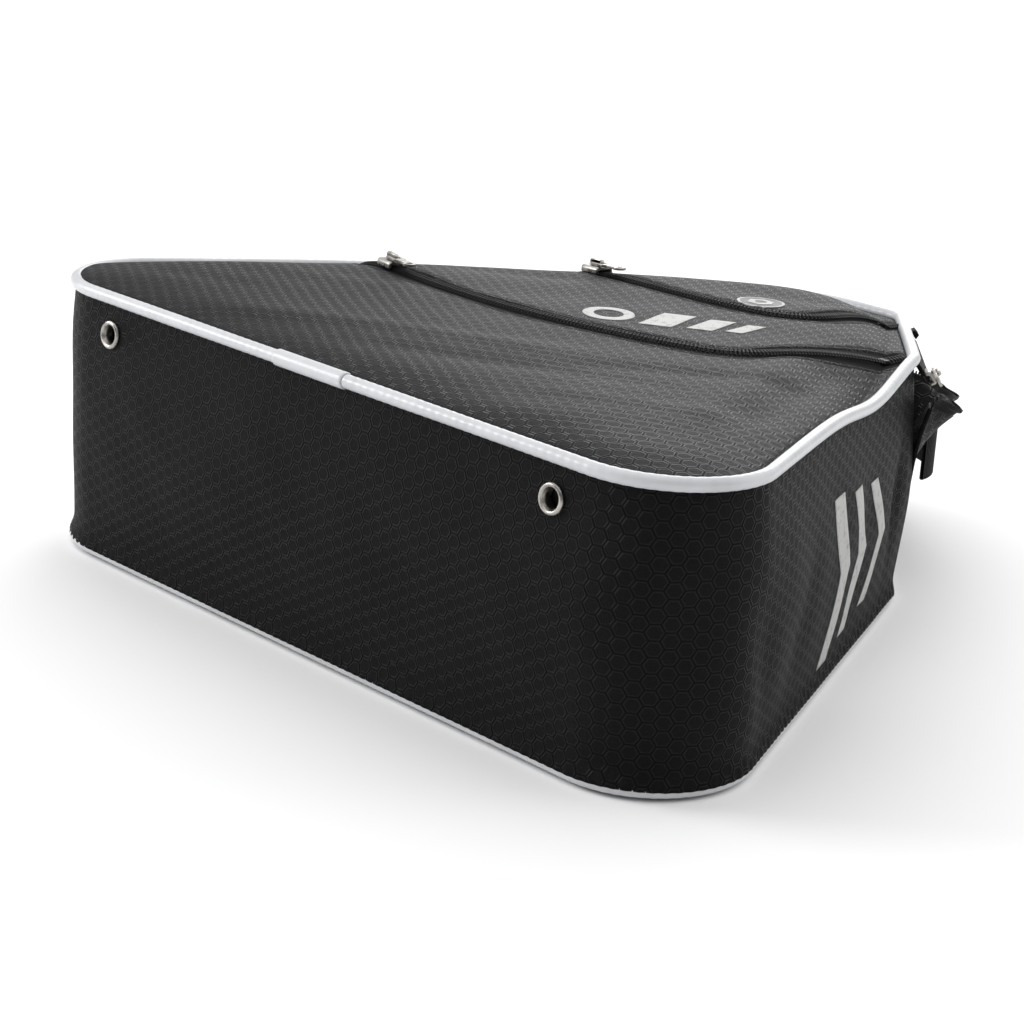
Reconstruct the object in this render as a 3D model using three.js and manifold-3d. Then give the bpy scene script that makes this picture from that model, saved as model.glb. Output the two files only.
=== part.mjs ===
// Skate bag lying on its back: a six-sided soft case with a wide straight base, sides that
// lean in to two shoulders, short chamfers and a narrow crown.  The top zip is open, so the
// mouth between its two tapes gapes.  Two curved zips close pockets across the front face.
// Millimetres, +Z up.  X runs along the base, +Y from the base to the crown.
import * as THREE from 'three';
import { mergeVertices } from 'three/addons/utils/BufferGeometryUtils.js';
import Module from 'manifold-3d';

const wasm = await Module();
wasm.setup();

// ---------- driving dimensions ----------

// Outline of the front and back faces, measured to the piping's centre line.
const HALF_BASE = 195;
const SHOULDER = { x: 90.8, y: 233.8 };
const CROWN = { x: 23.8, y: 312.5 };
const BASE_RADIUS = 36.8;
const SHOULDER_RADIUS = 12;

// Piping, and the room that the cloth leaves for it.
const PIPE_RADIUS = 2.6;
const WELT = 3.9;
const PIPE_SIDES = 8;
const SLEEVE_INNER = 2.95;
const SLEEVE_OUTER = 3.6;
const SLEEVE_FROM = -22;
const SLEEVE_TO = 17;
const BACK_SLEEVE_HALF = 18;
const PIPE_END_GAP = 0.6;

// Depth of the case, its taper towards the crown, and the sag of the front edge.
const DEPTH = 107.6;
const TAPER = 0.031;
const CROWN_SAG = 6.4;
const CROWN_SAG_START = 235;
const CROWN_SAG_LENGTH = 75;
const RIGHT_SAG = { drop: 6.0, y: 179, width: 39 };
const LEFT_SAG = { drop: 9.5, y: 241, width: 62 };
const SIDE_BLEND = 60;

// Crown of the padded front face.
const DOME = 7;
const DOME_POWER = 8;
const SAG_POWER = 8;
const CENTRE_Y = 120;
const GAUGE_POWER = 8;

// Cloth thicknesses and gaps between neighbours.
const CLOTH = 2.4;
const GAP = 0.3;
const WALL_BULGE = 4;
const LINER = 1.2;
const LINER_DROP = 9.5;
const LINER_INSET = 9;
const POCKET_PARTING = 20;

// Back panel and pads.
const BACK_THICKNESS = 2.4;
const PAD_THICKNESS = 5;
const PAD_INSET = 9;
const PAD_GAP = 0.4;
const BOARD = { halfWidth: 128, y: 3.2, thickness: 2, low: 10, high: 98, radius: 8 };

// Zip chain sizes.
const COIL_HALF = 2.7;
const COIL_LOW = -1.0;
const COIL_HIGH = 1.2;
const TAPE_OUTER = 5.8;
const TAPE_LOW = -1.0;
const TAPE_HIGH = -0.2;
const TAPE_CLEARANCE = 0.4;
const CHANNEL_HALF = TAPE_OUTER + GAP;

// Routes of the two pocket zips: a long shallow arc across the face, a tight bend, then a
// straight run to a corner of the outline.
const LOWER_ROUTE = {
  centreX: -40, sagY: 118, radius: 260, startX: -127, endX: 59, levelX: 59, bend: 28,
  target: { x: 86, y: 222 },
};
const UPPER_ROUTE = {
  centreX: -30, sagY: 206, radius: 260, startX: -95, endX: 24, levelX: -25, bend: 24,
  target: { x: 38.5, y: 281 },
};
const LOWER_SLIDER_X = -102;
const UPPER_SLIDER_X = -62;
const SLIDER_LIFT = 0.5;
const STOP = { length: 2.4, width: 5, height: 2, centre: 1.4, lift: 0.2, room: 3.2 };

// Zip slider and pull.
const SLIDER_LENGTH = 11;
const SLIDER_HALF = 4.4;
const SADDLE_HALF = 3.1;
const SADDLE_FOOT = 0.15;
const SADDLE_CEILING = 1.75;
const SLIDER_TOP = 3.2;
const ARCH = { half: 4, leg: 1.2, inside: 1.9, top: 1.1, halfWidth: 1 };
const PIVOT_HEIGHT = SLIDER_TOP + 0.95;
const PULL = { bar: 0.6, armIn: 1.45, half: 2.8, slot: 5.6, length: 18, thick: 1.1, tip: 2.8 };

// Mouth: a narrow front strip that leans out from the piping, and the slack rear lip.
const STRIP_PITCH = THREE.MathUtils.degToRad(56);
const STRIP_FROM = 4.2;
const STRIP_TO = 8;
const MOUTH_TAPE = { from: 8.3, to: 10.3 };
const MOUTH_COIL = { from: 10.6, to: 13 };
const LIP = { endOut: 9, midOut: 22, topOut: 14, endDrop: 20, midDrop: 32, topDrop: 30 };
const LIP_POWER = 4;
const LIP_BULGE = 3;
const LIP_RUN = 45;
const LIP_START = 6;
const CROWN_RUN = 30;
const LIP_TAPE = { from: 0.3, to: 2.3, half: 0.4 };
const LIP_COIL = { from: 2.6, to: 5, half: 1 };
const MAIN_SLIDER = { pastShoulder: 11, reach: 40, clearance: 0.4, wall: 1.3 };
const CHAIN_END = 4;

// Eyelets through the base wall.
const EYELET = {
  x: 123.9, z: 96.9, hole: 3.5, barrel: 4.2, flange: 5.6, wallHole: 4.6,
  tail: -3.4, seat: 0.45, shoulder: 1.2, top: 1.6, lip: 0.9, rimEase: 0.3, washer: 0.55,
};
const EYELET_TILT = 0.11;

// Carry handle of folded webbing across the crown.
const HANDLE = { half: 45, rise: 29, webHalf: 11, thick: 2, midZ: 38, rootY: 310 };
const ANCHOR = { back: 15, half: 9, gap: 0.6 };
const SEAM_TAB = { length: 9, reach: 4, thick: 2.2, back: 16, rootLift: 1.4, tipLift: 1.8 };

// The back piping's sleeve just clears the surface that the back panel lies on.
const BACK_Z = SLEEVE_OUTER;

// ---------- materials ----------

function material(color, roughness, metalness = 0) {
  return new THREE.MeshStandardMaterial({ color, roughness, metalness });
}

const honeycombCloth = () => material(0x2b2b2d, 0.75);
const liningCloth = () => material(0x3a3a3c, 0.85);
const pipingVinyl = () => material(0xdcdde0, 0.35);
const zipTape = () => material(0x18181a, 0.85);
const zipCoil = () => material(0x101012, 0.5);
const nickel = () => material(0xa7a49e, 0.3, 1);
const foam = () => material(0x4a4a4c, 0.95);
const board = () => material(0x1c1c1e, 0.6);
const webbing = () => material(0x1d1d1f, 0.8);

// ---------- plane outline ----------

// Round each corner of the outline and return its lines and arcs, starting at the middle of
// the base and running anticlockwise.
function buildOutline() {
  const corners = [
    { x: HALF_BASE, y: 0, r: BASE_RADIUS },
    { ...SHOULDER, r: SHOULDER_RADIUS },
    { ...CROWN, r: SHOULDER_RADIUS },
    { x: -CROWN.x, y: CROWN.y, r: SHOULDER_RADIUS },
    { x: -SHOULDER.x, y: SHOULDER.y, r: SHOULDER_RADIUS },
    { x: -HALF_BASE, y: 0, r: BASE_RADIUS },
  ];
  const pieces = [];
  const start = new THREE.Vector2(0, 0);
  let last = start.clone();
  let heading = 0;
  let length = 0;
  const addLine = (end) => {
    const size = end.distanceTo(last);
    pieces.push({ from: length, size, a: last.clone(), heading, radius: 0 });
    length += size;
    last = end.clone();
  };
  corners.forEach((corner, i) => {
    const next = corners[(i + 1) % corners.length];
    const out = Math.atan2(next.y - corner.y, next.x - corner.x);
    const turn = THREE.MathUtils.euclideanModulo(out - heading, 2 * Math.PI);
    const back = corner.r * Math.tan(turn / 2);
    addLine(new THREE.Vector2(
      corner.x - Math.cos(heading) * back, corner.y - Math.sin(heading) * back));
    const size = corner.r * turn;
    pieces.push({ from: length, size, a: last.clone(), heading, radius: corner.r });
    length += size;
    heading = out;
    last = new THREE.Vector2(
      corner.x + Math.cos(out) * back, corner.y + Math.sin(out) * back);
  });
  addLine(start);
  return { pieces, length };
}

const OUTLINE = buildOutline();
const SHOULDER_ARC = OUTLINE.pieces[3];
const CROWN_ARC = OUTLINE.pieces[5];
const SHOULDER_S = SHOULDER_ARC.from + SHOULDER_ARC.size / 2;
const CROWN_S = CROWN_ARC.from + CROWN_ARC.size / 2;

// Point, outward normal and distance from the base's middle at distance s round the outline.
function outlineAt(s) {
  const wrapped = THREE.MathUtils.euclideanModulo(s, OUTLINE.length);
  const piece = OUTLINE.pieces.findLast((p) => p.from <= wrapped + 1e-9);
  const along = wrapped - piece.from;
  let heading = piece.heading;
  let { x, y } = piece.a;
  if (piece.radius > 0) {
    heading += along / piece.radius;
    x += piece.radius * (Math.sin(heading) - Math.sin(piece.heading));
    y += piece.radius * (Math.cos(piece.heading) - Math.cos(heading));
  } else {
    x += along * Math.cos(heading);
    y += along * Math.sin(heading);
  }
  return { s, x, y, nx: Math.sin(heading), ny: -Math.cos(heading), heading };
}

// Stations from distance a to b: every join of a line and an arc, and steps in between.
function outlineStations(a, b, lineStep = 27, arcStep = 9) {
  const marks = [];
  for (let lap = -1; lap <= 1; lap += 1) {
    for (const piece of OUTLINE.pieces) {
      const from = piece.from + lap * OUTLINE.length;
      const step = piece.radius > 0 ? arcStep : lineStep;
      const count = Math.ceil(piece.size / step);
      for (let k = 0; k < count; k += 1) {
        marks.push(from + (piece.size * k) / count);
      }
    }
  }
  const inside = marks.filter((s) => s > a + 1 && s < b - 1);
  return [a, ...inside, b].map(outlineAt);
}

// ---------- heights of the front face ----------

const smooth = (t) => THREE.MathUtils.smoothstep(t, 0, 1);

function bell(y, sag) {
  return sag.drop * Math.exp(-(((y - sag.y) / sag.width) ** 2));
}

function frontPlane(y) {
  return BACK_Z + DEPTH - TAPER * y;
}

// Height of the front piping's centre line.
function edgeHeight(x, y) {
  const crown = CROWN_SAG * THREE.MathUtils.clamp((y - CROWN_SAG_START) / CROWN_SAG_LENGTH, 0, 1);
  const right = bell(y, RIGHT_SAG) * smooth(x / SIDE_BLEND);
  const left = bell(y, LEFT_SAG) * smooth(-x / SIDE_BLEND);
  return frontPlane(y) - crown - right - left;
}

// 0 at the middle of the face and 1 on its outline: a rounded maximum of the six distances.
function gauge(x, y) {
  const sides = [
    [HALF_BASE, 0, SHOULDER.x, SHOULDER.y], [SHOULDER.x, SHOULDER.y, CROWN.x, CROWN.y],
    [CROWN.x, CROWN.y, -CROWN.x, CROWN.y], [-CROWN.x, CROWN.y, -SHOULDER.x, SHOULDER.y],
    [-SHOULDER.x, SHOULDER.y, -HALF_BASE, 0], [-HALF_BASE, 0, HALF_BASE, 0],
  ];
  let sum = 0;
  for (const [ax, ay, bx, by] of sides) {
    const size = Math.hypot(bx - ax, by - ay);
    const nx = (by - ay) / size;
    const ny = -(bx - ax) / size;
    const reach = nx * ax + ny * (ay - CENTRE_Y);
    const share = Math.max(0, (nx * x + ny * (y - CENTRE_Y)) / reach);
    sum += share ** GAUGE_POWER;
  }
  return Math.min(1, sum ** (1 / GAUGE_POWER));
}

function frontHeight(x, y) {
  const g = gauge(x, y);
  const sag = edgeHeight(x, y) - frontPlane(y);
  return frontPlane(y) + sag * g ** SAG_POWER + DOME * (1 - g ** DOME_POWER);
}

// ---------- solids ----------

// Turn a closed mesh's faces outwards if its volume comes out negative.
function outward(geometry) {
  const pos = geometry.attributes.position;
  const index = geometry.index.array;
  const p = [new THREE.Vector3(), new THREE.Vector3(), new THREE.Vector3()];
  let volume = 0;
  for (let i = 0; i < index.length; i += 3) {
    p.forEach((v, k) => v.fromBufferAttribute(pos, index[i + k]));
    volume += p[0].dot(p[1].clone().cross(p[2]));
  }
  if (volume < 0) {
    for (let i = 0; i < index.length; i += 3) {
      [index[i], index[i + 1]] = [index[i + 1], index[i]];
    }
  }
  return geometry;
}

function meshGeometry(points, faces) {
  const geometry = new THREE.BufferGeometry();
  geometry.setAttribute('position', new THREE.Float32BufferAttribute(points, 3));
  geometry.setIndex(faces);
  return outward(geometry);
}

// Carry a closed profile along rows of stations.  rows[i] is a list of [x, y, z] points.
function loft(rows, profile2d) {
  const count = rows[0].length;
  const faces = [];
  for (let i = 0; i + 1 < rows.length; i += 1) {
    for (let k = 0; k < count; k += 1) {
      const a = i * count + k;
      const b = i * count + ((k + 1) % count);
      faces.push(a, b, b + count, a, b + count, a + count);
    }
  }
  const flat = profile2d.map(([u, v]) => new THREE.Vector2(u, v));
  const caps = THREE.ShapeUtils.triangulateShape(flat, []);
  const lastRow = (rows.length - 1) * count;
  const clockwise = THREE.ShapeUtils.isClockWise(flat);
  for (const [a, b, c] of caps) {
    const near = clockwise ? [a, b, c] : [c, b, a];
    const far = clockwise ? [c, b, a] : [a, b, c];
    faces.push(...near);
    faces.push(...far.map((v) => v + lastRow));
  }
  return meshGeometry(rows.flat(2), faces);
}

// A band round the outline: profileAt(station) gives its [offset, height] points.
function outlineBand(stations, profileAt) {
  const rows = stations.map((st) => profileAt(st).map(
    ([off, z]) => [st.x + st.nx * off, st.y + st.ny * off, z]));
  return loft(rows, profileAt(stations[0]));
}

function ringProfile(radius, sides, height) {
  const points = [];
  for (let k = 0; k < sides; k += 1) {
    const angle = (2 * Math.PI * (k + 0.5)) / sides;
    points.push([radius * Math.cos(angle), height + radius * Math.sin(angle)]);
  }
  return points;
}

function toManifold(geometry) {
  const bare = geometry.clone();
  bare.deleteAttribute('normal');
  bare.deleteAttribute('uv');
  const merged = mergeVertices(bare, 1e-4);
  return new wasm.Manifold(new wasm.Mesh({
    numProp: 3,
    vertProperties: new Float32Array(merged.attributes.position.array),
    triVerts: new Uint32Array(merged.index.array),
  }));
}

function fromManifold(solid) {
  const mesh = solid.getMesh();
  const geometry = new THREE.BufferGeometry();
  geometry.setAttribute('position', new THREE.BufferAttribute(mesh.vertProperties, 3));
  geometry.setIndex(new THREE.BufferAttribute(mesh.triVerts, 1));
  return geometry;
}

// A prism over a plane polygon, tall enough to cut the whole case.
function regionPrism(points) {
  const shape = new THREE.Shape(points.map(([x, y]) => new THREE.Vector2(x, y)));
  const geometry = new THREE.ExtrudeGeometry(shape, { depth: 400, bevelEnabled: false });
  geometry.translate(0, 0, -100);
  return toManifold(geometry);
}

// A domed layer under the front face: rings shrink from the inset outline to the middle.
function domedLayer(inset, drop, thickness, rings) {
  const rim = outlineStations(0, OUTLINE.length).slice(0, -1)
    .map((st) => [st.x - st.nx * inset, st.y - st.ny * inset]);
  const points = [];
  for (const under of [0, thickness]) {
    points.push(0, CENTRE_Y, frontHeight(0, CENTRE_Y) - drop - under);
    for (const share of rings) {
      for (const [rx, ry] of rim) {
        const x = rx * share;
        const y = CENTRE_Y + (ry - CENTRE_Y) * share;
        points.push(x, y, frontHeight(x, y) - drop - under);
      }
    }
  }
  const n = rim.length;
  const layer = 1 + rings.length * n;
  const faces = [];
  for (let k = 0; k < n; k += 1) {
    const next = (k + 1) % n;
    faces.push(0, 1 + k, 1 + next);
    faces.push(layer, layer + 1 + next, layer + 1 + k);
    for (let r = 0; r + 1 < rings.length; r += 1) {
      const a = 1 + r * n + k;
      const b = 1 + r * n + next;
      faces.push(a, a + n, b + n, a, b + n, b);
      faces.push(layer + a, layer + b + n, layer + a + n, layer + a, layer + b, layer + b + n);
    }
    const a = 1 + (rings.length - 1) * n + k;
    const b = 1 + (rings.length - 1) * n + next;
    faces.push(a, layer + a, layer + b, a, layer + b, b);
  }
  return meshGeometry(points, faces);
}

function named(name, geometry, finish) {
  const mesh = new THREE.Mesh(geometry, finish);
  mesh.name = name;
  return mesh;
}

// ---------- pocket zip routes ----------

// Point of a route's long arc, by its heading.
function routePoint(route, heading) {
  return {
    x: route.centreX + route.radius * Math.sin(heading),
    y: route.sagY + route.radius * (1 - Math.cos(heading)),
    heading,
  };
}

function angleAtX(route, x) {
  return Math.asin((x - route.centreX) / route.radius);
}

// Stations of a pocket zip from its left end to its right end.
function routeStations(route) {
  const from = angleAtX(route, route.startX);
  const to = angleAtX(route, route.endX);
  const stations = [];
  const longSteps = 10;
  for (let k = 0; k <= longSteps; k += 1) {
    stations.push(routePoint(route, from + ((to - from) * k) / longSteps));
  }
  const turnStart = stations[longSteps];
  const hubX = turnStart.x - Math.sin(to) * route.bend;
  const hubY = turnStart.y + Math.cos(to) * route.bend;
  const dx = route.target.x - hubX;
  const dy = route.target.y - hubY;
  const straight = Math.sqrt(dx * dx + dy * dy - route.bend ** 2);
  const finalHeading = Math.atan2(dy, dx) + Math.atan2(route.bend, straight);
  const bendSteps = 4;
  for (let k = 1; k <= bendSteps; k += 1) {
    const heading = to + ((finalHeading - to) * k) / bendSteps;
    stations.push({
      x: hubX + Math.sin(heading) * route.bend,
      y: hubY - Math.cos(heading) * route.bend,
      heading,
    });
  }
  const straightSteps = 4;
  const bendEnd = stations[stations.length - 1];
  for (let k = 1; k <= straightSteps; k += 1) {
    const run = (straight * k) / straightSteps;
    stations.push({
      x: bendEnd.x + Math.cos(finalHeading) * run,
      y: bendEnd.y + Math.sin(finalHeading) * run,
      heading: finalHeading,
    });
  }
  return stations;
}

// Shift the route sideways; positive is to the left of its heading.
function besideRoute(stations, offset) {
  return stations.map((st) => [
    st.x - Math.sin(st.heading) * offset, st.y + Math.cos(st.heading) * offset]);
}

// The same, run on past both ends so that it cuts right through the outline.
function cuttingLine(stations, offset, past = 60) {
  const first = stations[0];
  const last = stations[stations.length - 1];
  const before = {
    x: first.x - Math.cos(first.heading) * past,
    y: first.y - Math.sin(first.heading) * past,
    heading: first.heading,
  };
  const after = {
    x: last.x + Math.cos(last.heading) * past,
    y: last.y + Math.sin(last.heading) * past,
    heading: last.heading,
  };
  return besideRoute([before, ...stations, after], offset);
}

const lowerStations = routeStations(LOWER_ROUTE);
const upperStations = routeStations(UPPER_ROUTE);
const FAR = 400;

// ---------- front face ----------

// Plane regions of the three front panels, split along the two zip channels.
function panelRegions() {
  const below = cuttingLine(lowerStations, -CHANNEL_HALF);
  const bandLow = cuttingLine(lowerStations, CHANNEL_HALF);
  const bandHigh = cuttingLine(upperStations, -CHANNEL_HALF);
  const above = cuttingLine(upperStations, CHANNEL_HALF);
  return {
    front_lower_panel: [...below, [FAR, FAR], [FAR, -FAR], [-FAR, -FAR], [-FAR, below[0][1]]],
    front_band_panel: [...bandLow, ...bandHigh.reverse()],
    front_upper_panel: [...above, [above[above.length - 1][0], FAR], [-FAR, FAR],
      [-FAR, above[0][1]]],
  };
}

function frontPanels() {
  const layer = toManifold(domedLayer(WELT, 0, CLOTH, [0.45, 0.72, 0.88, 1]));
  return Object.entries(panelRegions()).map(([name, region]) => named(
    name, fromManifold(layer.intersect(regionPrism(region))), honeycombCloth()));
}

// Linings behind the two pockets, parted along the middle of the band.
function pocketLiners() {
  const layer = toManifold(domedLayer(LINER_INSET, LINER_DROP, LINER, [0.55, 0.85, 1]));
  const seam = cuttingLine(lowerStations, POCKET_PARTING);
  const seamAbove = cuttingLine(lowerStations, POCKET_PARTING + GAP);
  const lower = [...seam, [FAR, FAR], [FAR, -FAR], [-FAR, -FAR], [-FAR, seam[0][1]]];
  const upper = [...seamAbove, [seamAbove[seamAbove.length - 1][0], FAR], [-FAR, FAR],
    [-FAR, seamAbove[0][1]]];
  return [
    named('lower_pocket_liner', fromManifold(layer.intersect(regionPrism(lower))), liningCloth()),
    named('upper_pocket_liner', fromManifold(layer.intersect(regionPrism(upper))), liningCloth()),
  ];
}

// ---------- pocket zips ----------

function routeBand(stations, low, high, bottom, top) {
  const profile = [[low, bottom], [high, bottom], [high, top], [low, top]];
  const rows = stations.map((st) => {
    const z = frontHeight(st.x, st.y);
    return profile.map(([off, up]) => [
      st.x - Math.sin(st.heading) * off, st.y + Math.cos(st.heading) * off, z + up]);
  });
  return loft(rows, profile);
}

// The chain's stations without the stretch that a metal stop takes at each end.
function chainBetweenStops(stations) {
  const trimmed = stations.map((st) => ({ ...st }));
  const first = trimmed[0];
  first.x += Math.cos(first.heading) * STOP.room;
  first.y += Math.sin(first.heading) * STOP.room;
  const last = trimmed[trimmed.length - 1];
  last.x -= Math.cos(last.heading) * STOP.room;
  last.y -= Math.sin(last.heading) * STOP.room;
  return trimmed;
}

function stopAt(station, forward) {
  const clip = new THREE.BoxGeometry(STOP.length, STOP.width, STOP.height);
  const shift = forward * STOP.centre;
  clip.applyMatrix4(new THREE.Matrix4().makeRotationZ(station.heading));
  clip.translate(
    station.x + Math.cos(station.heading) * shift,
    station.y + Math.sin(station.heading) * shift,
    frontHeight(station.x, station.y) + STOP.lift);
  return clip;
}

function joined(...geometries) {
  const solids = geometries.map(toManifold);
  return fromManifold(solids.reduce((whole, next) => whole.add(next)));
}

// Slider body: a saddle over the chain with an arch for the pull.  X is along the chain.
function sliderBody(saddleHalf = SADDLE_HALF, half = SLIDER_HALF) {
  const saddle = new THREE.Shape([
    new THREE.Vector2(-half, SADDLE_FOOT), new THREE.Vector2(-saddleHalf, SADDLE_FOOT),
    new THREE.Vector2(-saddleHalf, SADDLE_CEILING), new THREE.Vector2(saddleHalf, SADDLE_CEILING),
    new THREE.Vector2(saddleHalf, SADDLE_FOOT), new THREE.Vector2(half, SADDLE_FOOT),
    new THREE.Vector2(half, SLIDER_TOP - 0.8), new THREE.Vector2(half - 0.8, SLIDER_TOP),
    new THREE.Vector2(-half + 0.8, SLIDER_TOP), new THREE.Vector2(-half, SLIDER_TOP - 0.8),
  ]);
  const body = new THREE.ExtrudeGeometry(saddle, { depth: SLIDER_LENGTH, bevelEnabled: false });
  body.translate(0, 0, -SLIDER_LENGTH / 2);
  body.rotateX(Math.PI / 2);
  body.rotateZ(Math.PI / 2);
  const rise = ARCH.inside + ARCH.top;
  const inner = ARCH.half - ARCH.leg;
  const sink = 0.5;
  const arch = new THREE.Shape([
    new THREE.Vector2(-ARCH.half, -sink), new THREE.Vector2(-inner, -sink),
    new THREE.Vector2(-inner, ARCH.inside), new THREE.Vector2(inner, ARCH.inside),
    new THREE.Vector2(inner, -sink), new THREE.Vector2(ARCH.half, -sink),
    new THREE.Vector2(ARCH.half, rise - 1), new THREE.Vector2(ARCH.half - 1, rise),
    new THREE.Vector2(-ARCH.half + 1, rise), new THREE.Vector2(-ARCH.half, rise - 1),
  ]);
  const bridge = new THREE.ExtrudeGeometry(
    arch, { depth: 2 * ARCH.halfWidth, bevelEnabled: false });
  bridge.translate(0, 0, -ARCH.halfWidth);
  bridge.rotateX(Math.PI / 2);
  bridge.translate(0, 0, SLIDER_TOP);
  return joined(body, bridge);
}

// Flat pull with a slot round the arch, a narrow neck and a rounded tip with a hole.
function flatPull() {
  const shape = new THREE.Shape();
  const neck = PULL.half * 0.62;
  shape.moveTo(-PULL.bar, -PULL.half);
  shape.lineTo(PULL.slot + 1, -PULL.half);
  shape.lineTo(PULL.slot + 3, -neck);
  shape.lineTo(PULL.length - PULL.tip, -neck);
  shape.absarc(PULL.length - PULL.tip, 0, PULL.tip, -2.2, 2.2, false);
  shape.lineTo(PULL.length - PULL.tip, neck);
  shape.lineTo(PULL.slot + 3, neck);
  shape.lineTo(PULL.slot + 1, PULL.half);
  shape.lineTo(-PULL.bar, PULL.half);
  const slot = new THREE.Path();
  slot.moveTo(PULL.bar, -PULL.armIn);
  slot.lineTo(PULL.slot, -PULL.armIn);
  slot.lineTo(PULL.slot, PULL.armIn);
  slot.lineTo(PULL.bar, PULL.armIn);
  const eye = new THREE.Path();
  eye.absarc(PULL.length - PULL.tip, 0, PULL.tip * 0.45, 0, 2 * Math.PI, true);
  shape.holes.push(slot, eye);
  const pull = new THREE.ExtrudeGeometry(
    shape, { depth: PULL.thick, bevelEnabled: false, curveSegments: 10 });
  pull.translate(0, 0, -PULL.thick / 2);
  return pull;
}

// Where a slider stands on its zip.  Its path is the zip's long arc, in the plane that falls
// with the face's taper and meets the chain at the slider and again at the route's levelX, so
// it swings about the plane's normal through the middle of that arc.
function ridingOnRoute(route, x) {
  const here = routePoint(route, angleAtX(route, x));
  const level = routePoint(route, angleAtX(route, route.levelX));
  const height = frontHeight(here.x, here.y);
  const rise = frontHeight(level.x, level.y) - height + TAPER * (level.y - here.y);
  const slope = rise / (level.x - here.x);
  const axis = new THREE.Vector3(-slope, TAPER, 1).normalize();
  const heading = new THREE.Vector3(Math.cos(here.heading), Math.sin(here.heading), 0);
  const across = axis.clone().cross(heading).normalize();
  const along = across.clone().cross(axis);
  const group = new THREE.Group();
  group.applyMatrix4(new THREE.Matrix4().makeBasis(along, across, axis)
    .setPosition(here.x, here.y, height + SLIDER_LIFT));
  return group;
}

function pocketZip(prefix, route, stations, sliderX) {
  const group = new THREE.Group();
  const chain = chainBetweenStops(stations);
  const innerTape = COIL_HALF + TAPE_CLEARANCE;
  group.add(named(`${prefix}_zip_tape_near`,
    routeBand(stations, -TAPE_OUTER, -innerTape, TAPE_LOW, TAPE_HIGH), zipTape()));
  group.add(named(`${prefix}_zip_tape_far`,
    routeBand(stations, innerTape, TAPE_OUTER, TAPE_LOW, TAPE_HIGH), zipTape()));
  group.add(named(`${prefix}_zip_coil`,
    routeBand(chain, -COIL_HALF, COIL_HALF, COIL_LOW, COIL_HIGH), zipCoil()));
  group.add(named(`${prefix}_zip_stop_left`, stopAt(stations[0], 1), nickel()));
  group.add(named(`${prefix}_zip_stop_right`,
    stopAt(stations[stations.length - 1], -1), nickel()));
  const slider = ridingOnRoute(route, sliderX);
  slider.add(named(`${prefix}_zip_slider`, sliderBody(), nickel()));
  const pull = named(`${prefix}_zip_pull`, flatPull(), nickel());
  pull.position.z = PIVOT_HEIGHT;
  slider.add(pull);
  group.add(slider);
  return group;
}

// ---------- walls ----------

// How far the base and side walls stand out at a share of their height.
function wallOffset(share) {
  return WALL_BULGE * Math.sin(Math.PI * share);
}

function bodyGusset() {
  const end = SHOULDER_S - GAP;
  const profileAt = (st) => {
    const top = edgeHeight(st.x, st.y);
    const low = BACK_Z + WELT;
    const high = top - WELT;
    const levels = [0, 0.33, 0.67, 1];
    const outer = levels.map((t) => {
      const z = low + (high - low) * t;
      return [wallOffset(z / top), z];
    });
    const inner = outer.map(([off, z]) => [off - CLOTH, z]).reverse();
    return [...outer, ...inner];
  };
  let solid = toManifold(outlineBand(outlineStations(-end, end), profileAt));
  for (const side of [-1, 1]) {
    const cutter = new THREE.CylinderGeometry(EYELET.wallHole, EYELET.wallHole, 20, 16);
    cutter.applyMatrix4(eyeletMatrix(side));
    solid = solid.subtract(toManifold(cutter));
  }
  return named('body_gusset', fromManifold(solid), honeycombCloth());
}

// Frame of an eyelet: its own +Y points out of the base wall.
function eyeletMatrix(side) {
  const off = wallOffset(EYELET.z / (BACK_Z + DEPTH));
  const turn = new THREE.Matrix4().makeRotationX(Math.PI - EYELET_TILT);
  turn.setPosition(side * EYELET.x, -off, EYELET.z);
  return turn;
}

function eyelets() {
  const group = new THREE.Group();
  const { hole, barrel, flange, tail, seat, shoulder, top, lip } = EYELET;
  const rim = [
    [hole, tail], [barrel, tail], [barrel, seat], [flange, seat],
    [flange - EYELET.rimEase, shoulder], [barrel, top], [hole, lip], [hole, tail],
  ];
  const bore = barrel + GAP;
  const washer = [
    [bore, tail], [flange, tail], [flange, tail + EYELET.washer],
    [bore, tail + EYELET.washer], [bore, tail],
  ];
  const turned = (points) => new THREE.LatheGeometry(
    points.map(([r, y]) => new THREE.Vector2(r, y)), 16);
  for (const [word, side] of [['right', 1], ['left', -1]]) {
    for (const [name, points] of [[`eyelet_${word}`, rim], [`eyelet_washer_${word}`, washer]]) {
      const piece = named(name, turned(points), nickel());
      piece.applyMatrix4(eyeletMatrix(side));
      group.add(piece);
    }
  }
  return group;
}

// ---------- mouth ----------

// Convert distance u down the front strip and height h over it to [offset, height].
function onStrip(top, u, h) {
  return [
    u * Math.cos(STRIP_PITCH) + h * Math.sin(STRIP_PITCH),
    top - u * Math.sin(STRIP_PITCH) + h * Math.cos(STRIP_PITCH),
  ];
}

function stripBand(from, to, low, high, stations) {
  return outlineBand(stations, (st) => {
    const top = edgeHeight(st.x, st.y);
    return [
      onStrip(top, from, low), onStrip(top, to, low), onStrip(top, to, high),
      onStrip(top, from, high),
    ];
  });
}

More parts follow.
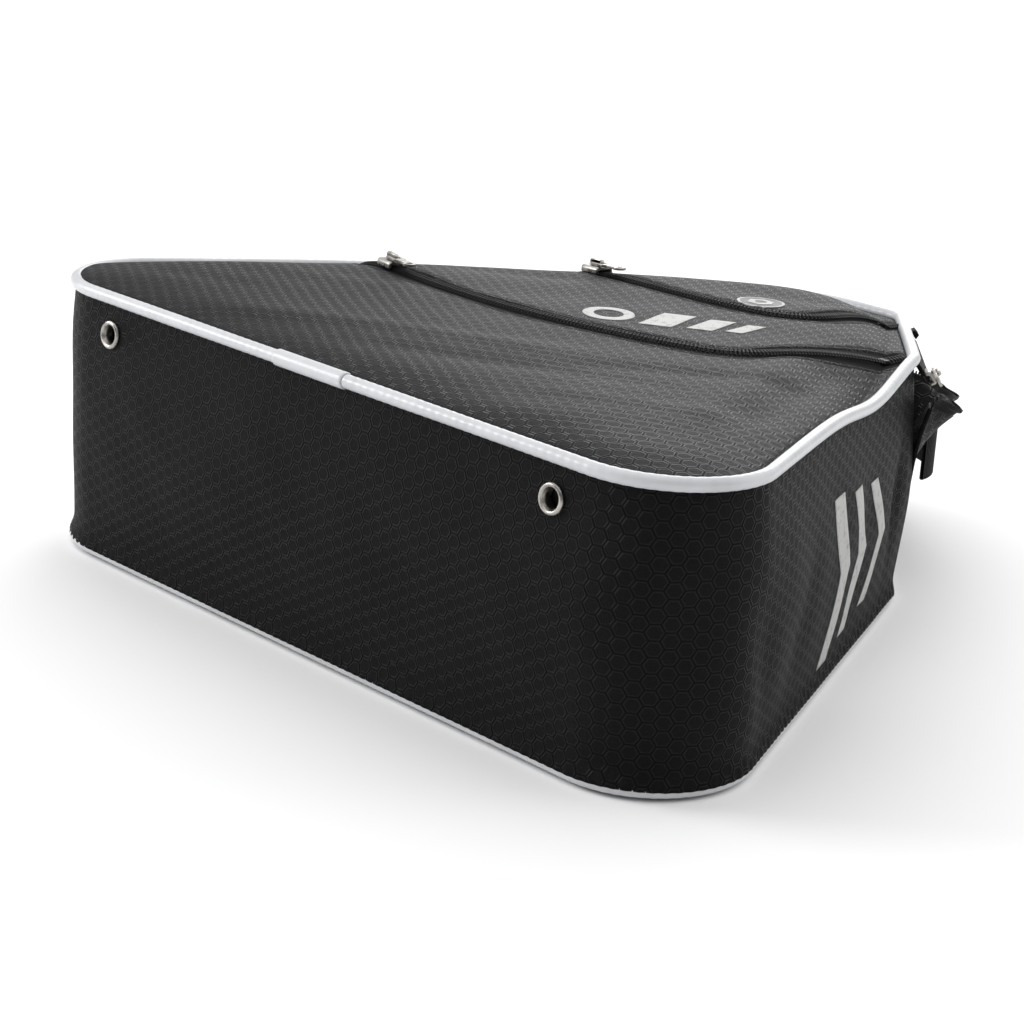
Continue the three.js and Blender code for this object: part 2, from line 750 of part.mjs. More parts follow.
// Reach and height of the rear lip: close to the front strip at the ends, slack between.
function lipAt(st) {
  const s = THREE.MathUtils.euclideanModulo(st.s, OUTLINE.length);
  const folded = Math.min(s, OUTLINE.length - s);
  const away = smooth((folded - SHOULDER_S - LIP_START) / LIP_RUN);
  const over = smooth((folded - CROWN_S + CROWN_RUN / 2) / CROWN_RUN);
  const out = THREE.MathUtils.lerp(
    THREE.MathUtils.lerp(LIP.endOut, LIP.midOut, away), LIP.topOut, over);
  const drop = THREE.MathUtils.lerp(
    THREE.MathUtils.lerp(LIP.endDrop, LIP.midDrop, away), LIP.topDrop, over);
  const height = edgeHeight(st.x, st.y) - drop;
  const slope = Math.atan((LIP_POWER * out) / height);
  return { out, height, slope };
}

// Stand-off of the rear gusset's outer face at height z.
function rearOffset(st, z) {
  const lip = lipAt(st);
  const share = z / lip.height;
  return lip.out * share ** LIP_POWER + LIP_BULGE * Math.sin(Math.PI * share);
}

function rearGusset(stations) {
  return outlineBand(stations, (st) => {
    const low = BACK_Z + WELT;
    const high = lipAt(st).height;
    const shares = [0, 0.25, 0.5, 0.7, 0.86, 1];
    const outer = shares.map((t) => {
      const z = low + (high - low) * t;
      return [rearOffset(st, z), z];
    });
    const inner = outer.map(([off, z]) => [off - CLOTH, z]).reverse();
    return [...outer, ...inner];
  });
}

function lipBand(size, stations) {
  return outlineBand(stations, (st) => {
    const lip = lipAt(st);
    const along = [Math.sin(lip.slope), Math.cos(lip.slope)];
    const across = [Math.cos(lip.slope), -Math.sin(lip.slope)];
    const middle = -CLOTH * 0.5 * Math.cos(lip.slope);
    const at = (a, h) => [
      lip.out + along[0] * a + across[0] * (h + middle),
      lip.height + along[1] * a + across[1] * (h + middle),
    ];
    return [
      at(size.from, -size.half), at(size.to, -size.half), at(size.to, size.half),
      at(size.from, size.half),
    ];
  });
}

// Right-hand frame on the front strip: X along the chain to the crown, Z off the cloth.
function mouthSliderFrame() {
  const st = outlineAt(SHOULDER_S + MAIN_SLIDER.pastShoulder);
  const ahead = outlineAt(st.s + MAIN_SLIDER.reach);
  const u = (MOUTH_COIL.from + MOUTH_COIL.to) / 2;
  const place = (station) => {
    const [off, z] = onStrip(edgeHeight(station.x, station.y), u, 0);
    return new THREE.Vector3(station.x + station.nx * off, station.y + station.ny * off, z);
  };
  const origin = place(st);
  const along = place(ahead).sub(origin).normalize();
  const rough = new THREE.Vector3(
    st.nx * Math.sin(STRIP_PITCH), st.ny * Math.sin(STRIP_PITCH), Math.cos(STRIP_PITCH));
  const across = rough.clone().cross(along).normalize();
  const off = along.clone().cross(across);
  return new THREE.Matrix4().makeBasis(along, across, off).setPosition(origin);
}

function mouth() {
  const group = new THREE.Group();
  const from = SHOULDER_S + GAP;
  const to = OUTLINE.length - SHOULDER_S - GAP;
  const stations = outlineStations(from, to, 12, 4);
  const chain = outlineStations(from + CHAIN_END, to - CHAIN_END, 12, 4);
  group.add(named('zip_gusset_front',
    stripBand(STRIP_FROM, STRIP_TO, -1, 1, stations), honeycombCloth()));
  group.add(named('main_zip_tape_front', stripBand(
    MOUTH_TAPE.from, MOUTH_TAPE.to, TAPE_LOW, TAPE_HIGH, stations), zipTape()));
  group.add(named('main_zip_coil_front', stripBand(
    MOUTH_COIL.from, MOUTH_COIL.to, COIL_LOW, COIL_HIGH, chain), zipCoil()));
  group.add(named('zip_gusset_rear', rearGusset(stations), honeycombCloth()));
  group.add(named('main_zip_tape_rear', lipBand(LIP_TAPE, stations), zipTape()));
  group.add(named('main_zip_coil_rear', lipBand(LIP_COIL, chain), zipCoil()));
  const slider = new THREE.Group();
  slider.applyMatrix4(mouthSliderFrame());
  const saddle = (MOUTH_COIL.to - MOUTH_COIL.from) / 2 + MAIN_SLIDER.clearance;
  slider.add(named(
    'main_zip_slider', sliderBody(saddle, saddle + MAIN_SLIDER.wall), nickel()));
  const pull = named('main_zip_pull', flatPull(), nickel());
  pull.position.z = PIVOT_HEIGHT;
  pull.rotation.z = Math.PI;
  slider.add(pull);
  group.add(slider);
  return group;
}

// ---------- piping ----------

function piping(name, heightAt, seam, sleeveHalf) {
  const round = outlineStations(
    seam + PIPE_END_GAP / 2, seam + OUTLINE.length - PIPE_END_GAP / 2);
  const cord = outlineBand(
    round, (st) => ringProfile(PIPE_RADIUS, PIPE_SIDES, heightAt(st)));
  const outer = (stations) => outlineBand(
    stations, (st) => ringProfile(SLEEVE_OUTER, PIPE_SIDES, heightAt(st)));
  const inner = (stations) => outlineBand(
    stations, (st) => ringProfile(SLEEVE_INNER, PIPE_SIDES, heightAt(st)));
  const over = outlineStations(seam - sleeveHalf, seam + sleeveHalf);
  const through = outlineStations(seam - sleeveHalf - 2, seam + sleeveHalf + 2);
  const sleeve = toManifold(outer(over)).subtract(toManifold(inner(through)));
  return [
    named(name, cord, pipingVinyl()),
    named(`${name}_sleeve`, fromManifold(sleeve), pipingVinyl()),
  ];
}

// ---------- back, stiffeners and trim ----------

function flatLayer(inset, bottom, thickness) {
  const rim = outlineStations(0, OUTLINE.length).slice(0, -1)
    .map((st) => new THREE.Vector2(st.x - st.nx * inset, st.y - st.ny * inset));
  const layer = new THREE.ExtrudeGeometry(
    new THREE.Shape(rim), { depth: thickness, bevelEnabled: false });
  layer.translate(0, 0, bottom);
  return layer;
}

function baseBoard() {
  const { halfWidth, low, high, radius, thickness, y } = BOARD;
  const plate = new THREE.Shape();
  plate.moveTo(-halfWidth + radius, low);
  plate.lineTo(halfWidth - radius, low);
  plate.absarc(halfWidth - radius, low + radius, radius, -Math.PI / 2, 0, false);
  plate.absarc(halfWidth - radius, high - radius, radius, 0, Math.PI / 2, false);
  plate.absarc(-halfWidth + radius, high - radius, radius, Math.PI / 2, Math.PI, false);
  plate.absarc(-halfWidth + radius, low + radius, radius, Math.PI, 1.5 * Math.PI, false);
  const solid = new THREE.ExtrudeGeometry(
    plate, { depth: thickness, bevelEnabled: false, curveSegments: 5 });
  solid.rotateX(Math.PI / 2);
  solid.translate(0, y + thickness, 0);
  return named('base_board', solid, board());
}

// Webbing loop that stands off the crown, with its two sewn ends on the rear gusset.
function carryHandle() {
  const steps = 14;
  const rows = [];
  for (let k = 0; k <= steps; k += 1) {
    const angle = (Math.PI * k) / steps;
    const nx = Math.cos(angle);
    const ny = Math.sin(angle);
    const flat = (r) => [HANDLE.half * nx + nx * r, HANDLE.rootY + HANDLE.rise * ny + ny * r];
    const [ix, iy] = flat(0);
    const [ox, oy] = flat(HANDLE.thick);
    rows.push([
      [ix, iy, HANDLE.midZ - HANDLE.webHalf], [ox, oy, HANDLE.midZ - HANDLE.webHalf],
      [ox, oy, HANDLE.midZ + HANDLE.webHalf], [ix, iy, HANDLE.midZ + HANDLE.webHalf],
    ]);
  }
  const square = [[0, 0], [1, 0], [1, 1], [0, 1]];
  return named('carry_handle', loft(rows, square), webbing());
}

// Sewn end of the handle: a webbing patch on the rear gusset, just short of the crown.
function handleAnchor(word, side) {
  const centre = side > 0 ? CROWN_S - ANCHOR.back : OUTLINE.length - CROWN_S + ANCHOR.back;
  const stations = outlineStations(centre - ANCHOR.half, centre + ANCHOR.half, 6, 4);
  const heights = [-1, 0, 1].map((t) => HANDLE.midZ + t * HANDLE.webHalf);
  const patch = outlineBand(stations, (st) => {
    const under = heights.map((z) => [rearOffset(st, z) + ANCHOR.gap, z]);
    const over = under.map(([off, z]) => [off + HANDLE.thick, z]).reverse();
    return [...under, ...over];
  });
  return named(`handle_anchor_${word}`, patch, webbing());
}

// Small folded tab that is caught in the piping seam beside the crown.
function seamTab() {
  const { length, reach, thick, back, rootLift, tipLift } = SEAM_TAB;
  const centre = CROWN_S - back;
  const stations = outlineStations(centre - length / 2, centre + length / 2);
  const tab = outlineBand(stations, (st) => {
    const top = edgeHeight(st.x, st.y);
    return [
      onStrip(top, STRIP_FROM, rootLift), onStrip(top, STRIP_FROM + reach, tipLift),
      onStrip(top, STRIP_FROM + reach - 1, tipLift + thick),
      onStrip(top, STRIP_FROM, rootLift + thick),
    ];
  });
  return named('seam_tab', tab, webbing());
}

// ---------- assembly ----------

const bag = new THREE.Group();
bag.add(...frontPanels());
bag.add(...pocketLiners());
bag.add(pocketZip('lower', LOWER_ROUTE, lowerStations, LOWER_SLIDER_X));
bag.add(pocketZip('upper', UPPER_ROUTE, upperStations, UPPER_SLIDER_X));
bag.add(bodyGusset());
bag.add(eyelets());
bag.add(mouth());
bag.add(...piping('front_piping', (st) => edgeHeight(st.x, st.y),
  (SLEEVE_FROM + SLEEVE_TO) / 2, (SLEEVE_TO - SLEEVE_FROM) / 2));
bag.add(...piping('back_piping', () => BACK_Z, OUTLINE.length / 2, BACK_SLEEVE_HALF));
bag.add(named('back_panel', flatLayer(WELT, 0, BACK_THICKNESS), honeycombCloth()));
bag.add(named('back_pad', flatLayer(PAD_INSET, BACK_THICKNESS + PAD_GAP, PAD_THICKNESS), foam()));
bag.add(baseBoard());
bag.add(carryHandle());
bag.add(handleAnchor('right', 1));
bag.add(handleAnchor('left', -1));
bag.add(seamTab());

// Set the origin at the middle of the footprint, on the surface that the bag lies on.
const extent = new THREE.Box3().setFromObject(bag);
const middle = extent.getCenter(new THREE.Vector3());
bag.position.set(-middle.x, -middle.y, -extent.min.z);

export default bag;
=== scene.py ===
"""Skate bag lying on its back: cloth, piping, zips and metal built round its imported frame.

Shapes are worked out in millimetres on the bag's own outline: x runs along the base, y from the
base's piping to the crown and z up from the floor.  mesh_piece() turns them into frame metres.
"""
import logging
import math
from dataclasses import dataclass, field
from enum import Enum

import bmesh
import bpy
import numpy as np
from mathutils import Matrix, Vector


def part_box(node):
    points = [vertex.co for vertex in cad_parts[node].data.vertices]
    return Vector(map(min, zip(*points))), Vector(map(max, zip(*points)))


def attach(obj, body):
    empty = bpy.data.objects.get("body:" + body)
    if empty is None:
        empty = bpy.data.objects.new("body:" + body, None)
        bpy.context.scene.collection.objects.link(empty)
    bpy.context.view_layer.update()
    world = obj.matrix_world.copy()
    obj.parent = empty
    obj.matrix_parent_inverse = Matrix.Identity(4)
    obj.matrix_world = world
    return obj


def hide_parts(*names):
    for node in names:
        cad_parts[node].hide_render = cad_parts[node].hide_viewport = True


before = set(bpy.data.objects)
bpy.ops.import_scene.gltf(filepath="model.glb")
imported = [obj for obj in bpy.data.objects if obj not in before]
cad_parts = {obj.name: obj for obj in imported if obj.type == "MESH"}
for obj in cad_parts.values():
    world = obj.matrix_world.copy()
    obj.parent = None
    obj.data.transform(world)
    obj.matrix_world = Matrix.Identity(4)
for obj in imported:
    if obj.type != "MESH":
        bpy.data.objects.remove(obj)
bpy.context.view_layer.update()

LOG = logging.getLogger("skate_bag")
Array = np.ndarray
MM = 0.001
WELT = 3.9
SHIFT_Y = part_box("back_panel")[0].y / MM - WELT
PIPE_RADIUS = 2.6
BACK_Z = 3.6
CLOTH_UV = "cloth"
UP = np.array([0.0, 0.0, 1.0])


# ---------- small helpers on arrays ----------


def smooth(t: Array) -> Array:
    """Smooth step: 3t^2 - 2t^3 on t held between 0 and 1."""
    held = np.clip(t, 0.0, 1.0)
    return held * held * (3.0 - 2.0 * held)


def hump(d: Array, width: float) -> Array:
    """Bell curve exp(-(d/width)^2)."""
    return np.exp(-((d / width) ** 2))


def resample(line: Array, count: int) -> Array:
    """Points at equal steps of length along a line.

    Args:
        line: points in order, one row each.
        count: how many points to return.

    Returns:
        count points, the first and last as given.
    """
    steps = np.linalg.norm(np.diff(line, axis=0), axis=1)
    length = np.concatenate([[0.0], np.cumsum(steps)])
    wanted = np.linspace(0.0, length[-1], count)
    return np.stack([np.interp(wanted, length, column) for column in line.T], axis=-1)


def nearest(points: Array, line: Array) -> Array:
    """Distance from each plane point to the nearest of a line's points.

    Args:
        points: (n, 2) places.
        line: (k, 2) closely spaced points.

    Returns:
        n distances.
    """
    best = [
        np.sqrt(((part[:, None, :] - line[None]) ** 2).sum(-1).min(1))
        for part in np.array_split(points, max(1, len(points) // 2000))
    ]
    return np.concatenate(best)


def unit(v: Array) -> Array:
    """Vectors scaled to length one along the last axis."""
    return v / np.maximum(np.linalg.norm(v, axis=-1, keepdims=True), 1e-12)


# ---------- the bag's form ----------


@dataclass
class Outline:
    """Six-sided outline of the piping, its corners rounded, run anticlockwise from the base."""

    half_base: float = 195.0
    shoulder: tuple[float, float] = (90.8, 233.8)
    crown: tuple[float, float] = (23.8, 312.5)
    base_radius: float = 36.8
    shoulder_radius: float = 12.0
    rows: Array = field(init=False)
    length: float = field(init=False)

    def __post_init__(self) -> None:
        """Lay out the lines and arcs: each row is start, size, x, y, heading and radius."""
        (sx, sy), (cx, cy) = self.shoulder, self.crown
        corners = [
            (self.half_base, 0.0, self.base_radius), (sx, sy, self.shoulder_radius),
            (cx, cy, self.shoulder_radius), (-cx, cy, self.shoulder_radius),
            (-sx, sy, self.shoulder_radius), (-self.half_base, 0.0, self.base_radius),
        ]
        rows, start, heading, last = [], 0.0, 0.0, np.zeros(2)
        for i, (x, y, radius) in enumerate(corners):
            nx, ny, _ = corners[(i + 1) % len(corners)]
            out = math.atan2(ny - y, nx - x)
            turn = (out - heading) % (2 * math.pi)
            back = radius * math.tan(turn / 2)
            end = np.array([x - math.cos(heading) * back, y - math.sin(heading) * back])
            size = float(np.linalg.norm(end - last))
            rows.append([start, size, *last, heading, 0.0])
            rows.append([start + size, radius * turn, *end, heading, radius])
            start += size + radius * turn
            heading = out
            last = np.array([x + math.cos(out) * back, y + math.sin(out) * back])
        size = float(np.linalg.norm(last))
        rows.append([start, size, *last, heading, 0.0])
        self.rows = np.array(rows)
        self.length = start + size

    @property
    def shoulder_s(self) -> float:
        """Distance round the outline to the middle of the right shoulder."""
        return float(self.rows[3, 0] + self.rows[3, 1] / 2)

    @property
    def crown_s(self) -> float:
        """Distance round the outline to the middle of the crown's right corner."""
        return float(self.rows[5, 0] + self.rows[5, 1] / 2)

    def at(self, s: Array) -> tuple[Array, Array, Array, Array]:
        """Point and outward normal at distances round the outline.

        A line steps along its heading; an arc turns its heading by distance over radius.

        Args:
            s: distances from the middle of the base, of any shape.

        Returns:
            x, y and the normal's two parts, each in the shape of s.
        """
        wrapped = np.mod(s, self.length)
        index = np.searchsorted(self.rows[:, 0], wrapped, "right") - 1
        index = np.clip(index, 0, len(self.rows) - 1)
        start, _, x0, y0, h0, radius = np.moveaxis(self.rows[index], -1, 0)
        along = wrapped - start
        arc = radius > 0
        heading = h0 + np.where(arc, along / np.where(arc, radius, 1.0), 0.0)
        x = x0 + np.where(arc, radius * (np.sin(heading) - np.sin(h0)), along * np.cos(h0))
        y = y0 + np.where(arc, radius * (np.cos(h0) - np.cos(heading)), along * np.sin(h0))
        return x, y, np.sin(heading), -np.cos(heading)

    def outwards(self, s: Array) -> Array:
        """Level directions out of the outline at distances round it."""
        _, _, nx, ny = self.at(s)
        return np.stack([nx, ny, 0 * nx], -1)

    def inset(self, s: Array, depth: float) -> Array:
        """Plane points at a depth inside the outline."""
        x, y, nx, ny = self.at(s)
        return np.stack([x - nx * depth, y - ny * depth], -1)

    def up_the_side(self, distance: float) -> float:
        """Distance round the outline at a distance up the right side from the base corner."""
        turn = self.rows[2, 4] - self.rows[0, 4]
        return float(self.rows[2, 0] + distance - self.base_radius * math.tan(turn / 2))

    def sides(self) -> Array:
        """The six sharp sides as rows of two end points."""
        (sx, sy), (cx, cy), b = self.shoulder, self.crown, self.half_base
        return np.array([
            [b, 0, sx, sy], [sx, sy, cx, cy], [cx, cy, -cx, cy], [-cx, cy, -sx, sy],
            [-sx, sy, -b, 0], [-b, 0, b, 0],
        ], float)

    def depth(self, x: Array, y: Array) -> Array:
        """Distance inside the nearest sharp side, negative outside."""
        ax, ay, bx, by = (column.reshape(-1, *([1] * np.ndim(x))) for column in self.sides().T)
        size = np.hypot(bx - ax, by - ay)
        return -(((by - ay) * (x - ax) - (bx - ax) * (y - ay)) / size).max(0)

    def nearest_s(self, point: Array) -> float:
        """Distance round the outline to the place nearest a plane point."""
        s = np.arange(0.0, self.length, 0.25)
        x, y, _, _ = self.at(s)
        return float(s[np.argmin(np.hypot(x - point[0], y - point[1]))])


@dataclass(frozen=True)
class Sag:
    """A dip of the front edge along one side: a bell of this drop and width round y."""

    drop: float
    y: float
    width: float


@dataclass(frozen=True)
class Crease:
    """A soft ridge, or a valley where rise is negative, along a line across the front face."""

    start: tuple[float, float]
    end: tuple[float, float]
    rise: float
    width: float

    def height(self, x: Array, y: Array) -> Array:
        """Bell across the line, fading to nothing at both ends."""
        run = np.array(self.end) - np.array(self.start)
        size = float(np.hypot(*run))
        along = ((x - self.start[0]) * run[0] + (y - self.start[1]) * run[1]) / size
        across = ((x - self.start[0]) * run[1] - (y - self.start[1]) * run[0]) / size
        fade = smooth(along / (0.3 * size)) * smooth((size - along) / (0.3 * size))
        return self.rise * hump(across, self.width) * fade


@dataclass
class FaceForm:
    """Heights of the front face: a tapered plane, sagging edges, a padded dome and creases."""

    outline: Outline
    depth: float = 107.6
    taper: float = 0.031
    crown_sag: float = 6.4
    sag_start: float = 235.0
    sag_length: float = 75.0
    right_sag: Sag = Sag(6.0, 179.0, 39.0)
    left_sag: Sag = Sag(9.5, 241.0, 62.0)
    side_blend: float = 60.0
    dome: float = 7.0
    power: float = 8.0
    centre_y: float = 120.0
    creases: tuple[Crease, ...] = (
        Crease((-96, 6), (62, 100), 1.5, 9), Crease((-40, 10), (120, 96), -1.1, 8),
        Crease((150, 50), (84, 214), -1.9, 9), Crease((136, 44), (72, 196), 1.2, 8),
        Crease((-128, 70), (-50, 110), 0.9, 10), Crease((-150, 30), (-84, 52), -0.8, 9),
        Crease((40, 60), (128, 150), -0.8, 7), Crease((-104, 150), (-40, 196), -0.9, 9),
        Crease((60, 30), (150, 84), 0.9, 7), Crease((-20, 236), (34, 262), -0.7, 9),
    )

    def plane(self, y: Array) -> Array:
        """Height of the tapered plane over y."""
        return BACK_Z + self.depth - self.taper * y

    def edge(self, x: Array, y: Array) -> Array:
        """Height of the front piping's centre: the plane less the crown's and sides' sags."""
        crown = self.crown_sag * np.clip((y - self.sag_start) / self.sag_length, 0, 1)
        right, left = (
            sag.drop * hump(y - sag.y, sag.width) * smooth(side * x / self.side_blend)
            for sag, side in ((self.right_sag, 1), (self.left_sag, -1)))
        return self.plane(y) - crown - right - left

    def gauge(self, x: Array, y: Array) -> Array:
        """0 at the middle of the face and 1 at its outline: power mean of the side shares."""
        ax, ay, bx, by = (c.reshape(-1, *([1] * np.ndim(x))) for c in self.outline.sides().T)
        size = np.hypot(bx - ax, by - ay)
        nx, ny = (by - ay) / size, -(bx - ax) / size
        reach = nx * ax + ny * (ay - self.centre_y)
        share = np.maximum(0.0, (nx * x + ny * (y - self.centre_y)) / reach)
        return np.minimum(1.0, (share**self.power).sum(0) ** (1 / self.power))

    def bare(self, x: Array, y: Array) -> Array:
        """Height of the face without creases, which the zips follow."""
        g = self.gauge(x, y) ** self.power
        return self.plane(y) + (self.edge(x, y) - self.plane(y)) * g + self.dome * (1 - g)

    def front(self, x: Array, y: Array) -> Array:
        """Height of the face with creases and a slight unevenness that fades at the rim."""
        folds = sum(crease.height(x, y) for crease in self.creases)
        ripple = 0.35 * np.sin(x / 17 + 1.3) * np.sin(y / 21 + 0.4) + 0.2 * np.sin((x - y) / 9)
        return self.bare(x, y) + (folds + ripple) * smooth(self.outline.depth(x, y) / 22)


# ---------- meshes ----------


def mesh_piece(
    name: str,
    points: Array,
    facing: Array,
    finish: "Finish",
    uv: Array | None = None,
    wrap: tuple[bool, bool] = (False, False),
    keep: Array | None = None,
    caps: bool = False,
    weld: bool = False,
) -> bpy.types.Object:
    """Make a mesh object from one or more grids of points.

    Args:
        name: piece name.
        points: (n, m, 3) millimetres on the outline's axes, or (k, n, m, 3) for k like grids.
        facing: directions that the faces should look along, broadcast to points.
        finish: what the piece is made of.
        uv: (..., 2) cloth lengths in millimetres, or nothing.
        wrap: whether the grid closes on itself along each of its two ways.
        keep: (n-1, m-1) mask of the faces to keep, or nothing for all.
        caps: close both ends of a tube with a face.
        weld: merge points that share a place, for poles.

    Returns:
        The linked object, its place in its mesh.
    """
    grids = points if points.ndim == 4 else points[None]
    k, n, m, _ = grids.shape
    i, j = np.meshgrid(np.arange(n - 1 + wrap[0]), np.arange(m - 1 + wrap[1]), indexing="ij")
    i2, j2 = (i + 1) % n, (j + 1) % m
    quads = np.stack([i * m + j, i2 * m + j, i2 * m + j2, i * m + j2], -1)
    quads = quads[keep] if keep is not None else quads.reshape(-1, 4)
    flatpoints = grids.reshape(k, -1, 3)
    look = np.broadcast_to(facing, grids.shape).reshape(k, -1, 3)
    first = flatpoints[0]
    a, b, c, d = (first[column] for column in quads.T)
    normals = np.cross(c - a, d - b)
    turned = (normals * look[0][quads[:, 0]]).sum() < 0
    if turned:
        quads = quads[:, ::-1]
    every = (quads[None] + (np.arange(k) * n * m)[:, None, None]).reshape(-1, 4)
    faces = every.tolist()
    if caps:
        ends = [list(range(m)), list(range((n - 1) * m, n * m))[::-1]]
        for grid in range(k):
            faces += [[v + grid * n * m for v in (end if turned else end[::-1])] for end in ends]
    place = (flatpoints.reshape(-1, 3) + np.array([0.0, SHIFT_Y, 0.0])) * MM
    mesh = bpy.data.meshes.new(name)
    mesh.from_pydata(place.tolist(), [], faces)
    if uv is not None:
        chosen = np.zeros(len(mesh.loops), np.int32)
        mesh.loops.foreach_get("vertex_index", chosen)
        values = np.broadcast_to(uv, grids.shape[:-1] + (2,)).reshape(-1, 2)[chosen] * MM
        mesh.uv_layers.new(name=CLOTH_UV).data.foreach_set("uv", values.astype(np.float32).ravel())
    mesh.polygons.foreach_set("use_smooth", np.ones(len(mesh.polygons), bool))
    if weld:
        form = bmesh.new()
        form.from_mesh(mesh)
        bmesh.ops.remove_doubles(form, verts=form.verts, dist=1e-6)
        form.to_mesh(mesh)
        form.free()
    mesh.validate()
    mesh.materials.append(finish.material())
    made = bpy.data.objects.new(name, mesh)
    bpy.context.scene.collection.objects.link(made)
    return made


def thicken(piece: bpy.types.Object, thickness: float) -> bpy.types.Object:
    """Give a surface its cloth's thickness in millimetres, inwards from its outer face."""
    shell = piece.modifiers.new("cloth thickness", "SOLIDIFY")
    shell.thickness = thickness * MM
    shell.offset = -1.0
    return piece


def fit(piece: bpy.types.Object, body: str, slot: str, *nodes: str) -> bpy.types.Object:
    """Set a piece on its body and hide the frame nodes that it stands for."""
    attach(piece, body)
    if nodes:
        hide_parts(*nodes)
    LOG.info("%s rides on %s", piece.name, body)
    return piece


def tube(path: Array, side: Array, up: Array, profile: Array) -> Array:
    """Carry a closed profile along a path.

    Each point is the path's point plus the profile's first part along side and its second
    along up.

    Args:
        path: (n, 3) points.
        side: (n, 3) unit directions for the profile's first part.
        up: (n, 3) unit directions for its second part.
        profile: (m, 2) or (n, m, 2) profile points.

    Returns:
        (n, m, 3) points.
    """
    shape = np.broadcast_to(profile, (len(path),) + profile.shape[-2:])
    return path[:, None] + shape[..., :1] * side[:, None] + shape[..., 1:] * up[:, None]


def circle(radius: float, sides: int) -> Array:
    """Points of a circle, anticlockwise."""
    angle = np.linspace(0, 2 * np.pi, sides, endpoint=False)
    return radius * np.stack([np.cos(angle), np.sin(angle)], -1)


def rounded_bar(half_width: float, half_thick: float, corner: float, steps: int = 4) -> Array:
    """Rectangle with rounded corners: four quarter arcs joined by straight sides."""
    quarter = np.linspace(0, np.pi / 2, steps)
    parts = []
    for turn, sx, sy in ((0, 1, 1), (1, -1, 1), (2, -1, -1), (3, 1, -1)):
        angle = quarter + turn * np.pi / 2
        parts.append(np.stack([
            sx * (half_width - corner) + corner * np.cos(angle),
            sy * (half_thick - corner) + corner * np.sin(angle)], -1))
    return np.concatenate(parts)


def frames(path: Array, up: Array) -> tuple[Array, Array, Array]:
    """Unit tangent, side and up vectors along a path, up kept as near as given."""
    along = unit(np.gradient(path, axis=0))
    side = unit(np.cross(along, up))
    return along, side, np.cross(side, along)


def along_path(path: Array, up: Array, start: float, pitch: float, end: float) -> list[Array]:
    """Evenly spaced places on a path with their frames.

    Args:
        path: (n, 3) points.
        up: (n, 3) directions off the cloth.
        start: first place, as a length from the path's start.
        pitch: length from one place to the next.
        end: length left free at the path's end.

    Returns:
        The places and their along, side and up directions, each (k, 3).
    """
    steps = np.linalg.norm(np.diff(path, axis=0), axis=1)
    length = np.concatenate([[0.0], np.cumsum(steps)])
    marks = np.arange(start, length[-1] - end, pitch)
    return [
        np.stack([np.interp(marks, length, column) for column in rows.T], -1)
        for rows in (path, *frames(path, up))]


def rounded_copy(node: str, name: str, finish: "Finish", width: float) -> bpy.types.Object:
    """Copy a rigid frame node, merge its loose faces and round its edges.

    Args:
        node: the frame node to copy.
        name: piece name.
        finish: what the piece is made of.
        width: edge rounding in millimetres.

    Returns:
        The linked copy.
    """
    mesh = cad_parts[node].data.copy()
    mesh.name = name
    form = bmesh.new()
    form.from_mesh(mesh)
    bmesh.ops.remove_doubles(form, verts=form.verts, dist=1e-6)
    bmesh.ops.dissolve_limit(form, angle_limit=math.radians(2), verts=form.verts, edges=form.edges)
    form.to_mesh(mesh)
    form.free()
    mesh.materials.clear()
    mesh.materials.append(finish.material())
    made = bpy.data.objects.new(name, mesh)
    bpy.context.scene.collection.objects.link(made)
    edge = made.modifiers.new("rounded edges", "BEVEL")
    edge.width = width * MM
    edge.segments = 3
    edge.limit_method = "ANGLE"
    edge.angle_limit = math.radians(28)
    mesh.shade_smooth()
    mesh.set_sharp_from_angle(angle=math.radians(50))
    return made


# ---------- finishes ----------


